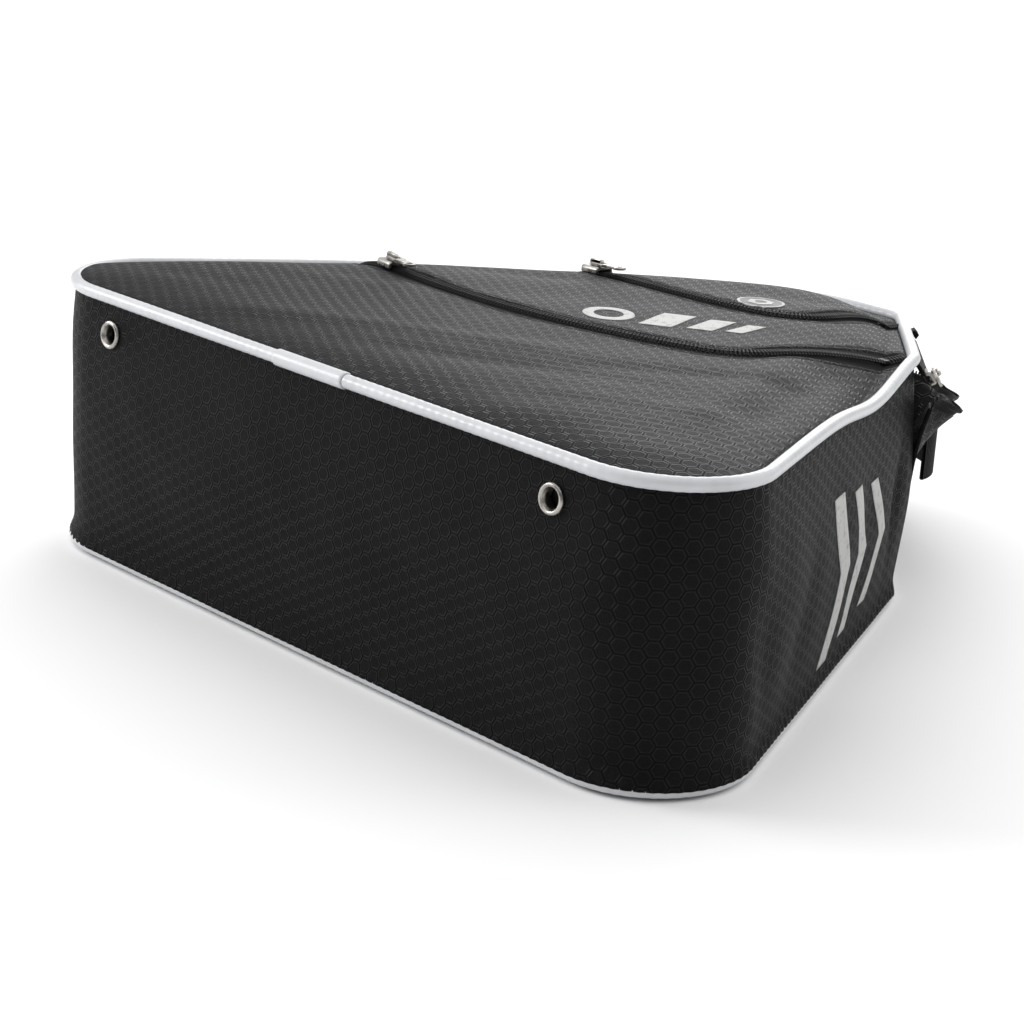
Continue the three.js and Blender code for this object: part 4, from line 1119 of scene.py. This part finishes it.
@dataclass
class BodyWall:
    """The base and side walls in one band, its dents, its eyelets and its prints."""

    form: FaceForm
    finishes: Finishes
    bulge: float = 4.0
    edge_gap: float = 1.0
    thickness: float = 2.0
    eyelet_x: float = 123.9
    eyelet_z: float = 96.9
    hole: float = 4.25
    hole_reach: float = 7.5
    dents: tuple[Dent, ...] = (
        Dent(176, 60, 1.6, 13, 36, 0.25), Dent(212, 46, 1.8, 10, 34, -0.3),
        Dent(238, 62, -1.2, 16, 30), Dent(262, 40, 2.0, 13, 30, 0.35),
        Dent(300, 66, 1.5, 18, 26, -0.3), Dent(340, 44, 1.7, 15, 30, 0.3),
        Dent(392, 52, 2.4, 7, 30, 0.15), Dent(60, 40, 1.0, 60, 26),
        Dent(-60, 60, -1.1, 50, 30), Dent(-172, 46, 3.4, 34, 44),
        Dent(-230, 56, 1.8, 20, 32, 0.2), Dent(-300, 50, 1.6, 24, 34, -0.2),
        Dent(-370, 54, -1.5, 30, 30), Dent(120, 30, -0.9, 30, 22),
    )

    def at(self, s: Array, z: Array) -> Array:
        """Point on the wall's outer face: the outline pushed out by the bulge less the dents."""
        x, y, nx, ny = self.form.outline.at(s)
        top = self.form.edge(x, y)
        share = np.clip(z / top, 0, 1)
        folds = sum(dent.depth(s, z) for dent in self.dents)
        ripple = 0.25 * np.sin(s / 13 + 0.6) * np.sin(z / 10) + 0.12 * np.sin(s / 6.1 + z / 8)
        near_eyelet = hump(np.hypot(np.abs(s) - self.eyelet_x, z - self.eyelet_z), 14.0)
        quiet = np.sin(np.pi * share) ** 0.8 * (1 - near_eyelet)
        pucker = 0.16 * np.sin(2 * np.pi * s / 4.2) * (hump(top - z, 5.0) + hump(z - BACK_Z, 5.0))
        off = self.bulge * np.sin(np.pi * share) - (folds + ripple) * quiet + pucker
        off = off + 2.3 * hump(z - BACK_Z, 4.5)
        return np.stack([x + nx * off, y + ny * off, z + 0 * off], -1)

    def wall(self) -> None:
        """Grid of the wall; points near an eyelet are pushed out to the rim of its hole."""
        outline = self.form.outline
        end = outline.shoulder_s - 0.3
        s, share = np.meshgrid(np.linspace(-end, end, 800), np.linspace(0, 1, 58), indexing="ij")
        x, y, nx, ny = outline.at(s)
        low, high = BACK_Z + 0.3, self.form.edge(x, y) - self.edge_gap
        z = low + (high - low) * share
        for side in (-1, 1):
            ds, dz = s - side * self.eyelet_x, z - self.eyelet_z
            r = np.maximum(np.hypot(ds, dz), 1e-6)
            pushed = self.hole + r * (self.hole_reach - self.hole) / self.hole_reach
            grow = np.where(r < self.hole_reach, pushed / r, 1.0)
            s, z = side * self.eyelet_x + ds * grow, self.eyelet_z + dz * grow
        middle_s = (s[:-1, :-1] + s[1:, 1:]) / 2
        middle_z = (z[:-1, :-1] + z[1:, 1:]) / 2
        clear = np.hypot(np.abs(middle_s) - self.eyelet_x, middle_z - self.eyelet_z)
        keep = clear > self.hole * 0.985
        piece = thicken(mesh_piece(
            "body_wall", self.at(s, z), np.stack([nx, ny, 0 * nx], -1), self.finishes.wall_cloth,
            np.stack([s, z], -1), keep=keep), self.thickness)
        fit(piece, "case", "honeycomb_cloth", "body_gusset")

    def eyelets(self) -> None:
        """Two rolled metal eyelets: a profile of radius and height turned about the hole."""
        turn = np.linspace(0, np.pi, 9)
        roll = np.stack([4.75 + 0.95 * np.cos(turn[::-1]), 0.35 + 1.0 * np.sin(turn)], -1)
        profile = np.concatenate([
            [[3.45, -3.2], [4.1, -3.2], [4.1, -0.4], [5.65, 0.1]], roll[::-1],
            [[3.6, 0.1], [3.45, -0.6]]])
        angle = np.linspace(0, 2 * np.pi, 48, endpoint=False)
        tilt = math.asin(0.11)
        for word, side in (("right", 1), ("left", -1)):
            centre = self.at(np.array(side * self.eyelet_x), np.array(self.eyelet_z))
            out = np.array([0, -math.cos(tilt), math.sin(tilt)])
            up = np.array([0, math.sin(tilt), math.cos(tilt)])
            ways = (np.cos(angle)[:, None] * np.array([1.0, 0, 0])
                    + np.sin(angle)[:, None] * up)
            points = centre + profile[None, :, :1] * ways[:, None] + profile[None, :, 1:] * out
            ring = centre + 4.4 * ways[:, None] - 0.8 * out
            piece = mesh_piece(
                f"eyelet_ring_{word}", points, points - ring, self.finishes.nickel,
                wrap=(True, True))
            fit(piece, "case", "nickel", f"eyelet_{word}")
            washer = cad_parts[f"eyelet_washer_{word}"]
            washer.data.materials.clear()
            washer.data.materials.append(self.finishes.nickel.material())

    def chevrons(self) -> None:
        """Generic side print: three nested chevrons in silver ink, set just off the cloth."""
        centre_s, centre_z = self.form.outline.up_the_side(176.0), 44.0
        for number in range(3):
            start = -38.0 + number * 27.0
            across = np.linspace(-1, 1, 41)
            thick = np.linspace(0, 13.0 - 2.0 * number, 7)
            a, b = np.meshgrid(across, thick, indexing="ij")
            ds = start + b + 17.0 * (1 - np.abs(a))
            s, z = centre_s + ds, centre_z + a * (33.0 - 4.0 * number)
            self.print_patch(f"side_print_{number + 1}", s, z, self.finishes.ink)

    def print_patch(self, name: str, s: Array, z: Array, finish: Finish) -> None:
        """Ink patch over the wall at a grid of places."""
        out = self.form.outline.outwards(s)
        piece = thicken(mesh_piece(
            name, self.at(s, z) + 0.16 * out, out, finish, np.stack([s, z], -1)), 0.12)
        fit(piece, "case", "silver_print")

    def build(self) -> None:
        """Make and place the wall and what is on it."""
        self.wall()
        self.eyelets()
        self.chevrons()


# ---------- mouth ----------


@dataclass
class Mouth:
    """The open top zip: a narrow front strip, a slack rear lip, two tapes, coils and a slider."""

    form: FaceForm
    finishes: Finishes
    pitch: float = math.radians(56.0)
    end_out: float = 9.0
    mid_out: float = 22.0
    top_out: float = 14.0
    end_drop: float = 20.0
    mid_drop: float = 32.0
    top_drop: float = 30.0
    power: float = 4.0
    bulge: float = 3.0
    run: float = 45.0
    start: float = 6.0
    crown_run: float = 30.0

    def stations(self, trim: float, count: int) -> Array:
        """Distances round the outline from the right shoulder to the left one."""
        outline = self.form.outline
        from_s = outline.shoulder_s + trim
        return np.linspace(from_s, outline.length - from_s, count)

    def strip(self, s: Array, u: Array, h: Array) -> Array:
        """Point at distance u down the front strip and height h off it."""
        x, y, nx, ny = self.form.outline.at(s)
        off = u * math.cos(self.pitch) + h * math.sin(self.pitch)
        z = self.form.edge(x, y) - u * math.sin(self.pitch) + h * math.cos(self.pitch)
        return np.stack([x + nx * off, y + ny * off, z], -1)

    def off_strip(self, s: Array) -> Array:
        """Directions straight off the front strip."""
        _, _, nx, ny = self.form.outline.at(s)
        out = math.sin(self.pitch)
        return np.stack([nx * out, ny * out, np.full_like(nx, math.cos(self.pitch))], -1)

    def lip(self, s: Array) -> tuple[Array, Array]:
        """Reach and height of the rear lip, close to the strip at the ends and slack between."""
        outline = self.form.outline
        folded = np.minimum(np.mod(s, outline.length), outline.length - np.mod(s, outline.length))
        away = smooth((folded - outline.shoulder_s - self.start) / self.run)
        over = smooth((folded - outline.crown_s + self.crown_run / 2) / self.crown_run)
        out = (self.end_out + (self.mid_out - self.end_out) * away) * (1 - over)
        out = out + self.top_out * over
        drop = (self.end_drop + (self.mid_drop - self.end_drop) * away) * (1 - over)
        x, y, _, _ = outline.at(s)
        return out, self.form.edge(x, y) - drop - self.top_drop * over

    def rear(self, s: Array, share: Array) -> Array:
        """Point on the rear gusset at a share of its height, with slack folds near the lip."""
        x, y, nx, ny = self.form.outline.at(s)
        out, height = self.lip(s)
        fold = 1.3 * share**4 * np.sin(2 * np.pi * s / 41.0 + 0.8)
        fold = fold + 0.5 * share**6 * np.sin(s / 3.7)
        off = out * share**self.power + self.bulge * np.sin(np.pi * share) + fold
        return np.stack([x + nx * off, y + ny * off, height * share], -1)

    def rear_frames(self, s: Array) -> tuple[Array, Array, Array]:
        """The lip's top edge, the direction up the cloth and the direction off it."""
        top, below = self.rear(s, np.ones_like(s)), self.rear(s, np.full_like(s, 0.985))
        up = unit(top - below)
        out = self.form.outline.outwards(s)
        along = unit(np.gradient(top, axis=0))
        off = unit(np.cross(up, along))
        off *= np.sign((off * out).sum(-1, keepdims=True))
        return top, up, off

    def front_strip(self) -> None:
        """Cloth strip from under the piping to the tape, hemmed with a roll."""
        s = self.stations(0.3, 420)[:, None]
        u = np.concatenate([np.linspace(1.6, 7.0, 10), [7.5, 7.8, 8.0]])[None]
        h = 1.0 - 1.1 * hump(u - 8.2, 0.5) - 0.8 * hump(u - 1.6, 1.0)
        points = self.strip(s, u, h + 0.12 * np.sin(2 * np.pi * s / 4.2))
        piece = thicken(mesh_piece(
            "mouth_strip_front", points, self.off_strip(s + 0 * u), self.finishes.wall_cloth,
            np.stack(np.broadcast_arrays(s, u), -1)), 1.6)
        fit(piece, "case", "honeycomb_cloth", "zip_gusset_front")
        self.front_zip()

    def front_zip(self) -> None:
        """Tape and teeth along the front strip."""
        s = self.stations(0.6, 420)[:, None]
        u = np.linspace(6.4, 11.4, 6)[None]
        tape = thicken(mesh_piece(
            "mouth_tape_front", self.strip(s, u, -0.25 + 0 * s), self.off_strip(s + 0 * u),
            self.finishes.tape, np.stack(np.broadcast_arrays(s, u), -1)), 0.6)
        fit(tape, "case", "zip_tape", "main_zip_tape_front")
        dense = self.stations(4.3, 1500)
        path = self.strip(dense, np.full_like(dense, 12.4), np.full_like(dense, 0.1))
        teeth = Coil(self.finishes.coil, half=2.0, wire=0.46).build(
            "mouth_coil_front", path, self.off_strip(dense), (self.outer_side(path, dense),))
        fit(teeth, "case", "zip_coil", "main_zip_coil_front")

    def outer_side(self, path: Array, s: Array) -> int:
        """Which side of the path the strip's cloth lies on, as the teeth count sides."""
        _, side, _ = frames(path, self.off_strip(s))
        towards = self.strip(s, np.full_like(s, 8.0), np.zeros_like(s)) - path
        return 1 if (side * towards).sum() > 0 else -1

    def rear_gusset(self) -> None:
        """Slack cloth from the back piping to the rear tape."""
        s, share = np.meshgrid(self.stations(0.3, 520), np.linspace(0.055, 1.0, 46), indexing="ij")
        piece = thicken(mesh_piece(
            "rear_gusset_cloth", self.rear(s, share), self.form.outline.outwards(s),
            self.finishes.wall_cloth, np.stack([s, share * 78.0], -1)), 1.8)
        fit(piece, "case", "honeycomb_cloth", "zip_gusset_rear")
        self.rear_zip()

    def rear_zip(self) -> None:
        """Tape and teeth along the rear lip, standing up its slope."""
        s = self.stations(0.6, 900)
        top, up, off = self.rear_frames(s)
        rows = np.linspace(-3.0, 3.0, 7)
        points = (top - 0.4 * off)[:, None] + rows[None, :, None] * up[:, None]
        tape = thicken(mesh_piece(
            "mouth_tape_rear", points, off[:, None], self.finishes.tape,
            np.stack(np.broadcast_arrays(s[:, None], rows[None]), -1)), 0.6)
        fit(tape, "case", "zip_tape", "main_zip_tape_rear")
        dense = self.stations(4.3, 1500)
        top, up, off = self.rear_frames(dense)
        path = top + 4.2 * up - 0.5 * off
        _, side, _ = frames(path, off)
        way = 1 if (side * up).sum() < 0 else -1
        teeth = Coil(self.finishes.coil, half=2.0, wire=0.46).build(
            "mouth_coil_rear", path, off, (way,))
        fit(teeth, "case", "zip_coil", "main_zip_coil_rear")

    def build(self) -> None:
        """Make and place the mouth and its metal."""
        self.front_strip()
        self.rear_gusset()
        for part, width in (("slider", 0.45), ("pull", 0.32)):
            fit(rounded_copy(f"main_zip_{part}", f"main_{part}_metal", self.finishes.nickel, width),
                f"main_{part}", "nickel", f"main_zip_{part}")
        fit(rounded_copy("seam_tab", "seam_tab_webbing", self.finishes.webbing, 0.5),
            "case", "webbing", "seam_tab")


# ---------- piping ----------


@dataclass
class Piping:
    """Round vinyl piping along both rims, each with a short sleeve over its joint."""

    form: FaceForm
    finishes: Finishes
    gap: float = 0.6

    def heights(self, s: Array, front: bool) -> Array:
        """Height of the piping's centre line."""
        x, y, _, _ = self.form.outline.at(s)
        return self.form.edge(x, y) if front else np.full_like(x, BACK_Z)

    def ring(self, s: Array, front: bool, radius: Array) -> tuple[Array, Array]:
        """Tube of a radius along the outline, and the directions out of it."""
        x, y, nx, ny = self.form.outline.at(s)
        path = np.stack([x, y, self.heights(s, front)], -1)
        out = np.stack([nx, ny, 0 * nx], -1)
        up = np.broadcast_to(UP, out.shape)
        points = tube(path, out, up, circle(1.0, 24)[None] * radius[:, None, None])
        return points, points - path[:, None]

    def run(self, name: str, front: bool, joint: float, sleeve: float) -> None:
        """One rim's cord and sleeve; the cord's radius wavers slightly with its stitches."""
        outline = self.form.outline
        s = np.linspace(joint + self.gap / 2, joint + outline.length - self.gap / 2, 1300)
        radius = PIPE_RADIUS - 0.02 + 0.05 * np.sin(2 * np.pi * s / 4.2) + 0.04 * np.sin(s / 19)
        points, out = self.ring(s, front, radius)
        cord = mesh_piece(
            f"{name}_vinyl", points, out, self.finishes.piping, wrap=(False, True), caps=True)
        fit(cord, "case", "piping_vinyl", name)
        s = np.linspace(joint - sleeve, joint + sleeve, 60)
        edge = np.minimum(s - s[0], s[-1] - s)
        radius = 3.2 - 0.35 * hump(edge, 0.35)
        outer, out = self.ring(s, front, radius)
        inner, _ = self.ring(s[::-1], front, np.full_like(s, 2.76))
        wall = np.concatenate([outer, inner])
        facing = np.concatenate([out, -out[::-1]])
        piece = mesh_piece(
            f"{name}_joint", wall, facing, self.finishes.piping, wrap=(True, True))
        fit(piece, "case", "piping_vinyl", f"{name}_sleeve")

    def build(self) -> None:
        """Make and place both rims' piping."""
        self.run("front_piping", True, -2.5, 19.5)
        self.run("back_piping", False, self.form.outline.length / 2, 18.0)


# ---------- back, board and handle ----------


@dataclass
class Back:
    """The back panel that the bag lies on, the pad inside it and the stiffener board."""

    form: FaceForm
    finishes: Finishes

    def disc(self, inset: float, rise: Array, share: Array, base: float) -> tuple[Array, Array]:
        """Rings that shrink from the inset outline to the middle, and their plane points."""
        outline = self.form.outline
        s = np.linspace(0, outline.length, 260, endpoint=False)
        rim = outline.inset(s, inset)
        centre = np.array([0.0, self.form.centre_y])
        plan = centre + (rim - centre)[:, None] * share[None, :, None]
        z = np.broadcast_to(base + rise, plan.shape[:-1])
        return np.dstack([plan[..., 0], plan[..., 1], z]), plan

    def build(self) -> None:
        """Flat cloth turned up at the rim, a crowned pad over it and the rounded board."""
        share = np.concatenate([[0.0], np.linspace(0.1, 0.9, 9), np.linspace(0.93, 1.0, 8)])
        points, plan = self.disc(1.6, 2.2 * share**40, share, 0.15)
        cloth = thicken(mesh_piece(
            "back_cloth", points, -UP, self.finishes.wall_cloth, plan,
            wrap=(True, False), weld=True), 1.8)
        fit(cloth, "case", "honeycomb_cloth", "back_panel")
        rings = np.concatenate([np.linspace(0.0, 0.9, 12), np.linspace(0.93, 1.0, 7)])
        top, plan = self.disc(10.0, 4.6 * (1 - rings**14), rings, 3.1)
        under, _ = self.disc(10.0, 0 * rings, rings, 2.95)
        pad = mesh_piece(
            "back_pad_cloth", np.concatenate([top, under[:, ::-1]], 1),
            np.concatenate([np.broadcast_to(UP, top.shape),
                            np.broadcast_to(-UP, under.shape)], 1),
            self.finishes.foam, np.concatenate([plan, plan[:, ::-1]], 1), wrap=(True, False),
            weld=True)
        fit(pad, "case", "foam", "back_pad")
        fit(rounded_copy("base_board", "base_board_plate", self.finishes.board, 0.5),
            "case", "board", "base_board")


@dataclass
class CarryHandle:
    """Webbing loop across the crown with a stitched patch at each end."""

    form: FaceForm
    mouth: Mouth
    finishes: Finishes
    half: float = 45.0
    rise: float = 29.0
    width: float = 11.0
    thick: float = 2.0
    middle_z: float = 38.0
    root_y: float = 310.0

    def loop(self) -> None:
        """Half ellipse in plan carried by a flat section with rounded edges."""
        angle = np.linspace(0, np.pi, 90)
        side = np.stack([np.cos(angle), np.sin(angle), 0 * angle], -1)
        path = np.stack([
            self.half * np.cos(angle), self.root_y + self.rise * np.sin(angle),
            np.full_like(angle, self.middle_z)], -1) + side * self.thick / 2
        up = np.broadcast_to(UP, side.shape)
        profile = rounded_bar(self.thick / 2, self.width, 0.7)
        points = tube(path, side, up, profile)
        length = np.linspace(0, 120.0, len(path))[:, None]
        uv = np.stack(np.broadcast_arrays(length, profile[None, :, 1]), -1)
        piece = mesh_piece(
            "carry_handle_webbing", points, points - path[:, None], self.finishes.webbing, uv,
            wrap=(False, True), caps=True)
        fit(piece, "handle", "webbing", "carry_handle")

    def patch(self, word: str, side: int) -> None:
        """Sewn webbing patch that follows the rear gusset, with a stitched box."""
        outline = self.form.outline
        centre = outline.crown_s - 15.0
        centre = centre if side > 0 else outline.length - centre
        s, z = np.meshgrid(np.linspace(-8.6, 8.6, 16), np.linspace(-10.6, 10.6, 16), indexing="ij")
        _, height = self.mouth.lip(s + centre)
        points = self.mouth.rear(s + centre, (z + self.middle_z) / height)
        out = outline.outwards(s + centre)
        piece = thicken(mesh_piece(
            f"handle_patch_{word}", points + 2.3 * out, out, self.finishes.webbing,
            np.stack([s, z], -1)), 1.7)
        fit(piece, "case", "webbing", f"handle_anchor_{word}")
        t = np.linspace(0, 1, 40)
        corners = np.array([[-6.6, -8], [6.6, -8], [6.6, 8], [-6.6, 8], [-6.6, -8], [6.6, 8]])
        line = np.concatenate([a + (b - a) * t[:, None] for a, b in zip(corners, corners[1:])])
        _, height = self.mouth.lip(line[:, 0] + centre)
        at = self.mouth.rear(line[:, 0] + centre, (line[:, 1] + self.middle_z) / height)
        off = outline.outwards(line[:, 0] + centre)
        stitches = Stitching(self.finishes.thread, pitch=2.8, length=2.0).build(
            f"handle_stitches_{word}", at + 2.4 * off, off)
        fit(stitches, "case", "webbing")

    def build(self) -> None:
        """Make and place the loop and its patches."""
        self.loop()
        self.patch("right", 1)
        self.patch("left", -1)


# ---------- prints on the front ----------


@dataclass
class FrontPrints:
    """Generic marks on the front: a ring and slanted bars on the band, a round badge above."""

    face: FrontFace
    finishes: Finishes
    lift: float = 0.14
    origin: tuple[float, float] = (24.5, 164.5)
    along: tuple[float, float] = (0.777, 0.629)

    def place(self, name: str, a: Array, b: Array, closed: bool = False) -> None:
        """Silver patch over the face at a grid of lengths along and up the printed row."""
        ux, uy = self.along
        x = self.origin[0] + ux * a - uy * b
        y = self.origin[1] + uy * a + ux * b
        self.lay(name, x, y, self.finishes.ink, self.lift, closed)

    def lay(self, name: str, x: Array, y: Array, finish: Finish, lift: float, closed: bool
            ) -> None:
        """Ink patch over the face at a grid of plane points.

        Args:
            name: piece name.
            x: plane points, first part.
            y: plane points, second part.
            finish: the ink.
            lift: height over the cloth.
            closed: whether the grid's first way closes on itself, as round a ring.
        """
        points = np.dstack([x, y, self.face.height(x, y) + lift])
        piece = thicken(mesh_piece(
            name, points, UP, finish, points[..., :2], wrap=(closed, False)), 0.1)
        fit(piece, "case", "silver_print")

    def bars(self) -> None:
        """Three slanted bars, each shorter than the last."""
        for number, (start, wide, tall) in enumerate(((-10, 13, 22), (9, 10, 18), (24, 7, 14))):
            a, b = np.meshgrid(np.linspace(0, 1, 24), np.linspace(-0.5, 0.5, 24), indexing="ij")
            self.place(f"band_print_bar_{number + 1}", start + a * wide + b * 9.0, b * tall)

    def ring(self) -> None:
        """A plain open ring at the left end of the row."""
        turn, r = np.meshgrid(
            np.linspace(0, 2 * np.pi, 64, endpoint=False), np.linspace(6.0, 10.5, 8), indexing="ij")
        self.place("band_print_ring", -27.0 + r * np.cos(turn), r * np.sin(turn), True)

    def badge(self) -> None:
        """A round badge: a dark disc with a silver rim and a silver hexagon."""
        turn = np.linspace(0, 2 * np.pi, 72, endpoint=False)[:, None]
        corner = np.mod(turn, np.pi / 3) - np.pi / 6
        hexagon = math.cos(math.pi / 6) / np.cos(corner)
        for name, low, high, shape, finish, lift in (
            ("badge_ground", 0.02, 10.0, 1.0 + 0 * turn, self.finishes.dark_ink, 0.14),
            ("badge_rim", 8.8, 10.0, 1.0 + 0 * turn, self.finishes.ink, 0.3),
            ("badge_hexagon", 2.8, 5.8, hexagon, self.finishes.ink, 0.3),
        ):
            r = np.linspace(low, high, 10)[None] * shape
            x, y = 15.0 + r * np.cos(turn), 227.0 + r * np.sin(turn)
            self.lay(name, x, y, finish, lift, True)

    def build(self) -> None:
        """Make and place every mark."""
        self.ring()
        self.bars()
        self.badge()


# ---------- studio ----------


@dataclass
class Studio:
    """Pale floor, soft light and the camera."""

    target: tuple[float, float, float] = (0.297, 103.338, 38.14)
    azimuth: float = 45.13
    elevation: float = 18.27
    roll: float = 3.46
    distance: float = 1004.1
    lens: float = 89.12
    floor_half: float = 30.0

    def camera(self) -> None:
        """Camera at a distance from its target, rolled about its own axis."""
        az, el, roll = (math.radians(v) for v in (self.azimuth, self.elevation, self.roll))
        back = Vector((math.sin(az) * math.cos(el), -math.cos(az) * math.cos(el), math.sin(el)))
        right = (-back).cross(Vector((0, 0, 1))).normalized()
        up = back.cross(right)
        turned_right = right * math.cos(roll) + up * math.sin(roll)
        turned_up = up * math.cos(roll) - right * math.sin(roll)
        target = Vector((self.target[0], self.target[1] + SHIFT_Y, self.target[2])) * MM
        data = bpy.data.cameras.new("camera")
        data.lens = self.lens
        data.clip_start = 0.05
        data.clip_end = 60.0
        made = bpy.data.objects.new("camera", data)
        columns = Matrix((turned_right, turned_up, back)).transposed().to_4x4()
        made.matrix_world = Matrix.Translation(target + back * self.distance * MM) @ columns
        bpy.context.scene.collection.objects.link(made)
        bpy.context.scene.camera = made

    def floor(self) -> None:
        """Wide pale floor, level with what the bag lies on."""
        mesh = bpy.data.meshes.new("studio_floor")
        half = self.floor_half
        corners = [(-half, -half, 0), (half, -half, 0), (half, half, 0), (-half, half, 0)]
        mesh.from_pydata(corners, [], [(0, 1, 2, 3)])
        kit = ShaderKit("studio floor")
        kit.set(Base_Color=(0.93, 0.93, 0.93), Roughness=0.9, Specular_IOR_Level=0.1)
        mesh.materials.append(kit.material)
        made = bpy.data.objects.new("studio_floor", mesh)
        bpy.context.scene.collection.objects.link(made)

    def panel_light(self, name: str, place: tuple, size: float, power: float, aim: tuple) -> None:
        """Square soft light at a place in metres, aimed at a point."""
        data = bpy.data.lights.new(name, "AREA")
        data.size = size
        data.energy = power
        made = bpy.data.objects.new(name, data)
        made.location = place
        way = Vector(aim) - Vector(place)
        made.rotation_euler = way.to_track_quat("-Z", "Y").to_euler()
        bpy.context.scene.collection.objects.link(made)

    def light(self) -> None:
        """Even pale surroundings, a broad sun from above and soft panels at the sides."""
        world = bpy.data.worlds.new("studio")
        world.use_nodes = True
        world.node_tree.nodes["Background"].inputs["Color"].default_value = (1, 1, 1, 1)
        world.node_tree.nodes["Background"].inputs["Strength"].default_value = 0.35
        bpy.context.scene.world = world
        data = bpy.data.lights.new("sky_light", "SUN")
        data.energy = 2.2
        data.angle = math.radians(110)
        made = bpy.data.objects.new("sky_light", data)
        made.rotation_euler = (math.radians(-18), math.radians(-8), 0)
        bpy.context.scene.collection.objects.link(made)
        self.panel_light("base_light", (-1.8, -1.3, 0.9), 1.0, 32.0, (0.0, -0.1, 0.05))
        self.panel_light("side_light", (1.5, 1.6, 0.8), 1.0, 6.5, (0.1, 0.0, 0.05))
        self.panel_light("face_light", (-1.1, 1.7, 0.8), 1.2, 14.0, (0.0, 0.0, 0.1))

    def build(self) -> None:
        """Set up the whole studio."""
        self.camera()
        self.floor()
        self.light()
        bpy.context.scene.view_settings.view_transform = "Standard"


def main() -> None:
    """Build the studio and the bag."""
    logging.basicConfig(level=logging.INFO, format="%(message)s")
    finishes = Finishes()
    form = FaceForm(Outline())
    Studio().build()
    Piping(form, finishes).build()
    BodyWall(form, finishes).build()
    face = FrontFace(form, finishes)
    face.build()
    for name, route in (("lower", LOWER_ROUTE), ("upper", UPPER_ROUTE)):
        PocketZip(name, route, form, finishes).build()
    FrontPrints(face, finishes).build()
    mouth = Mouth(form, finishes)
    mouth.build()
    Back(form, finishes).build()
    CarryHandle(form, mouth, finishes).build()


if __name__ == "__main__":
    main()
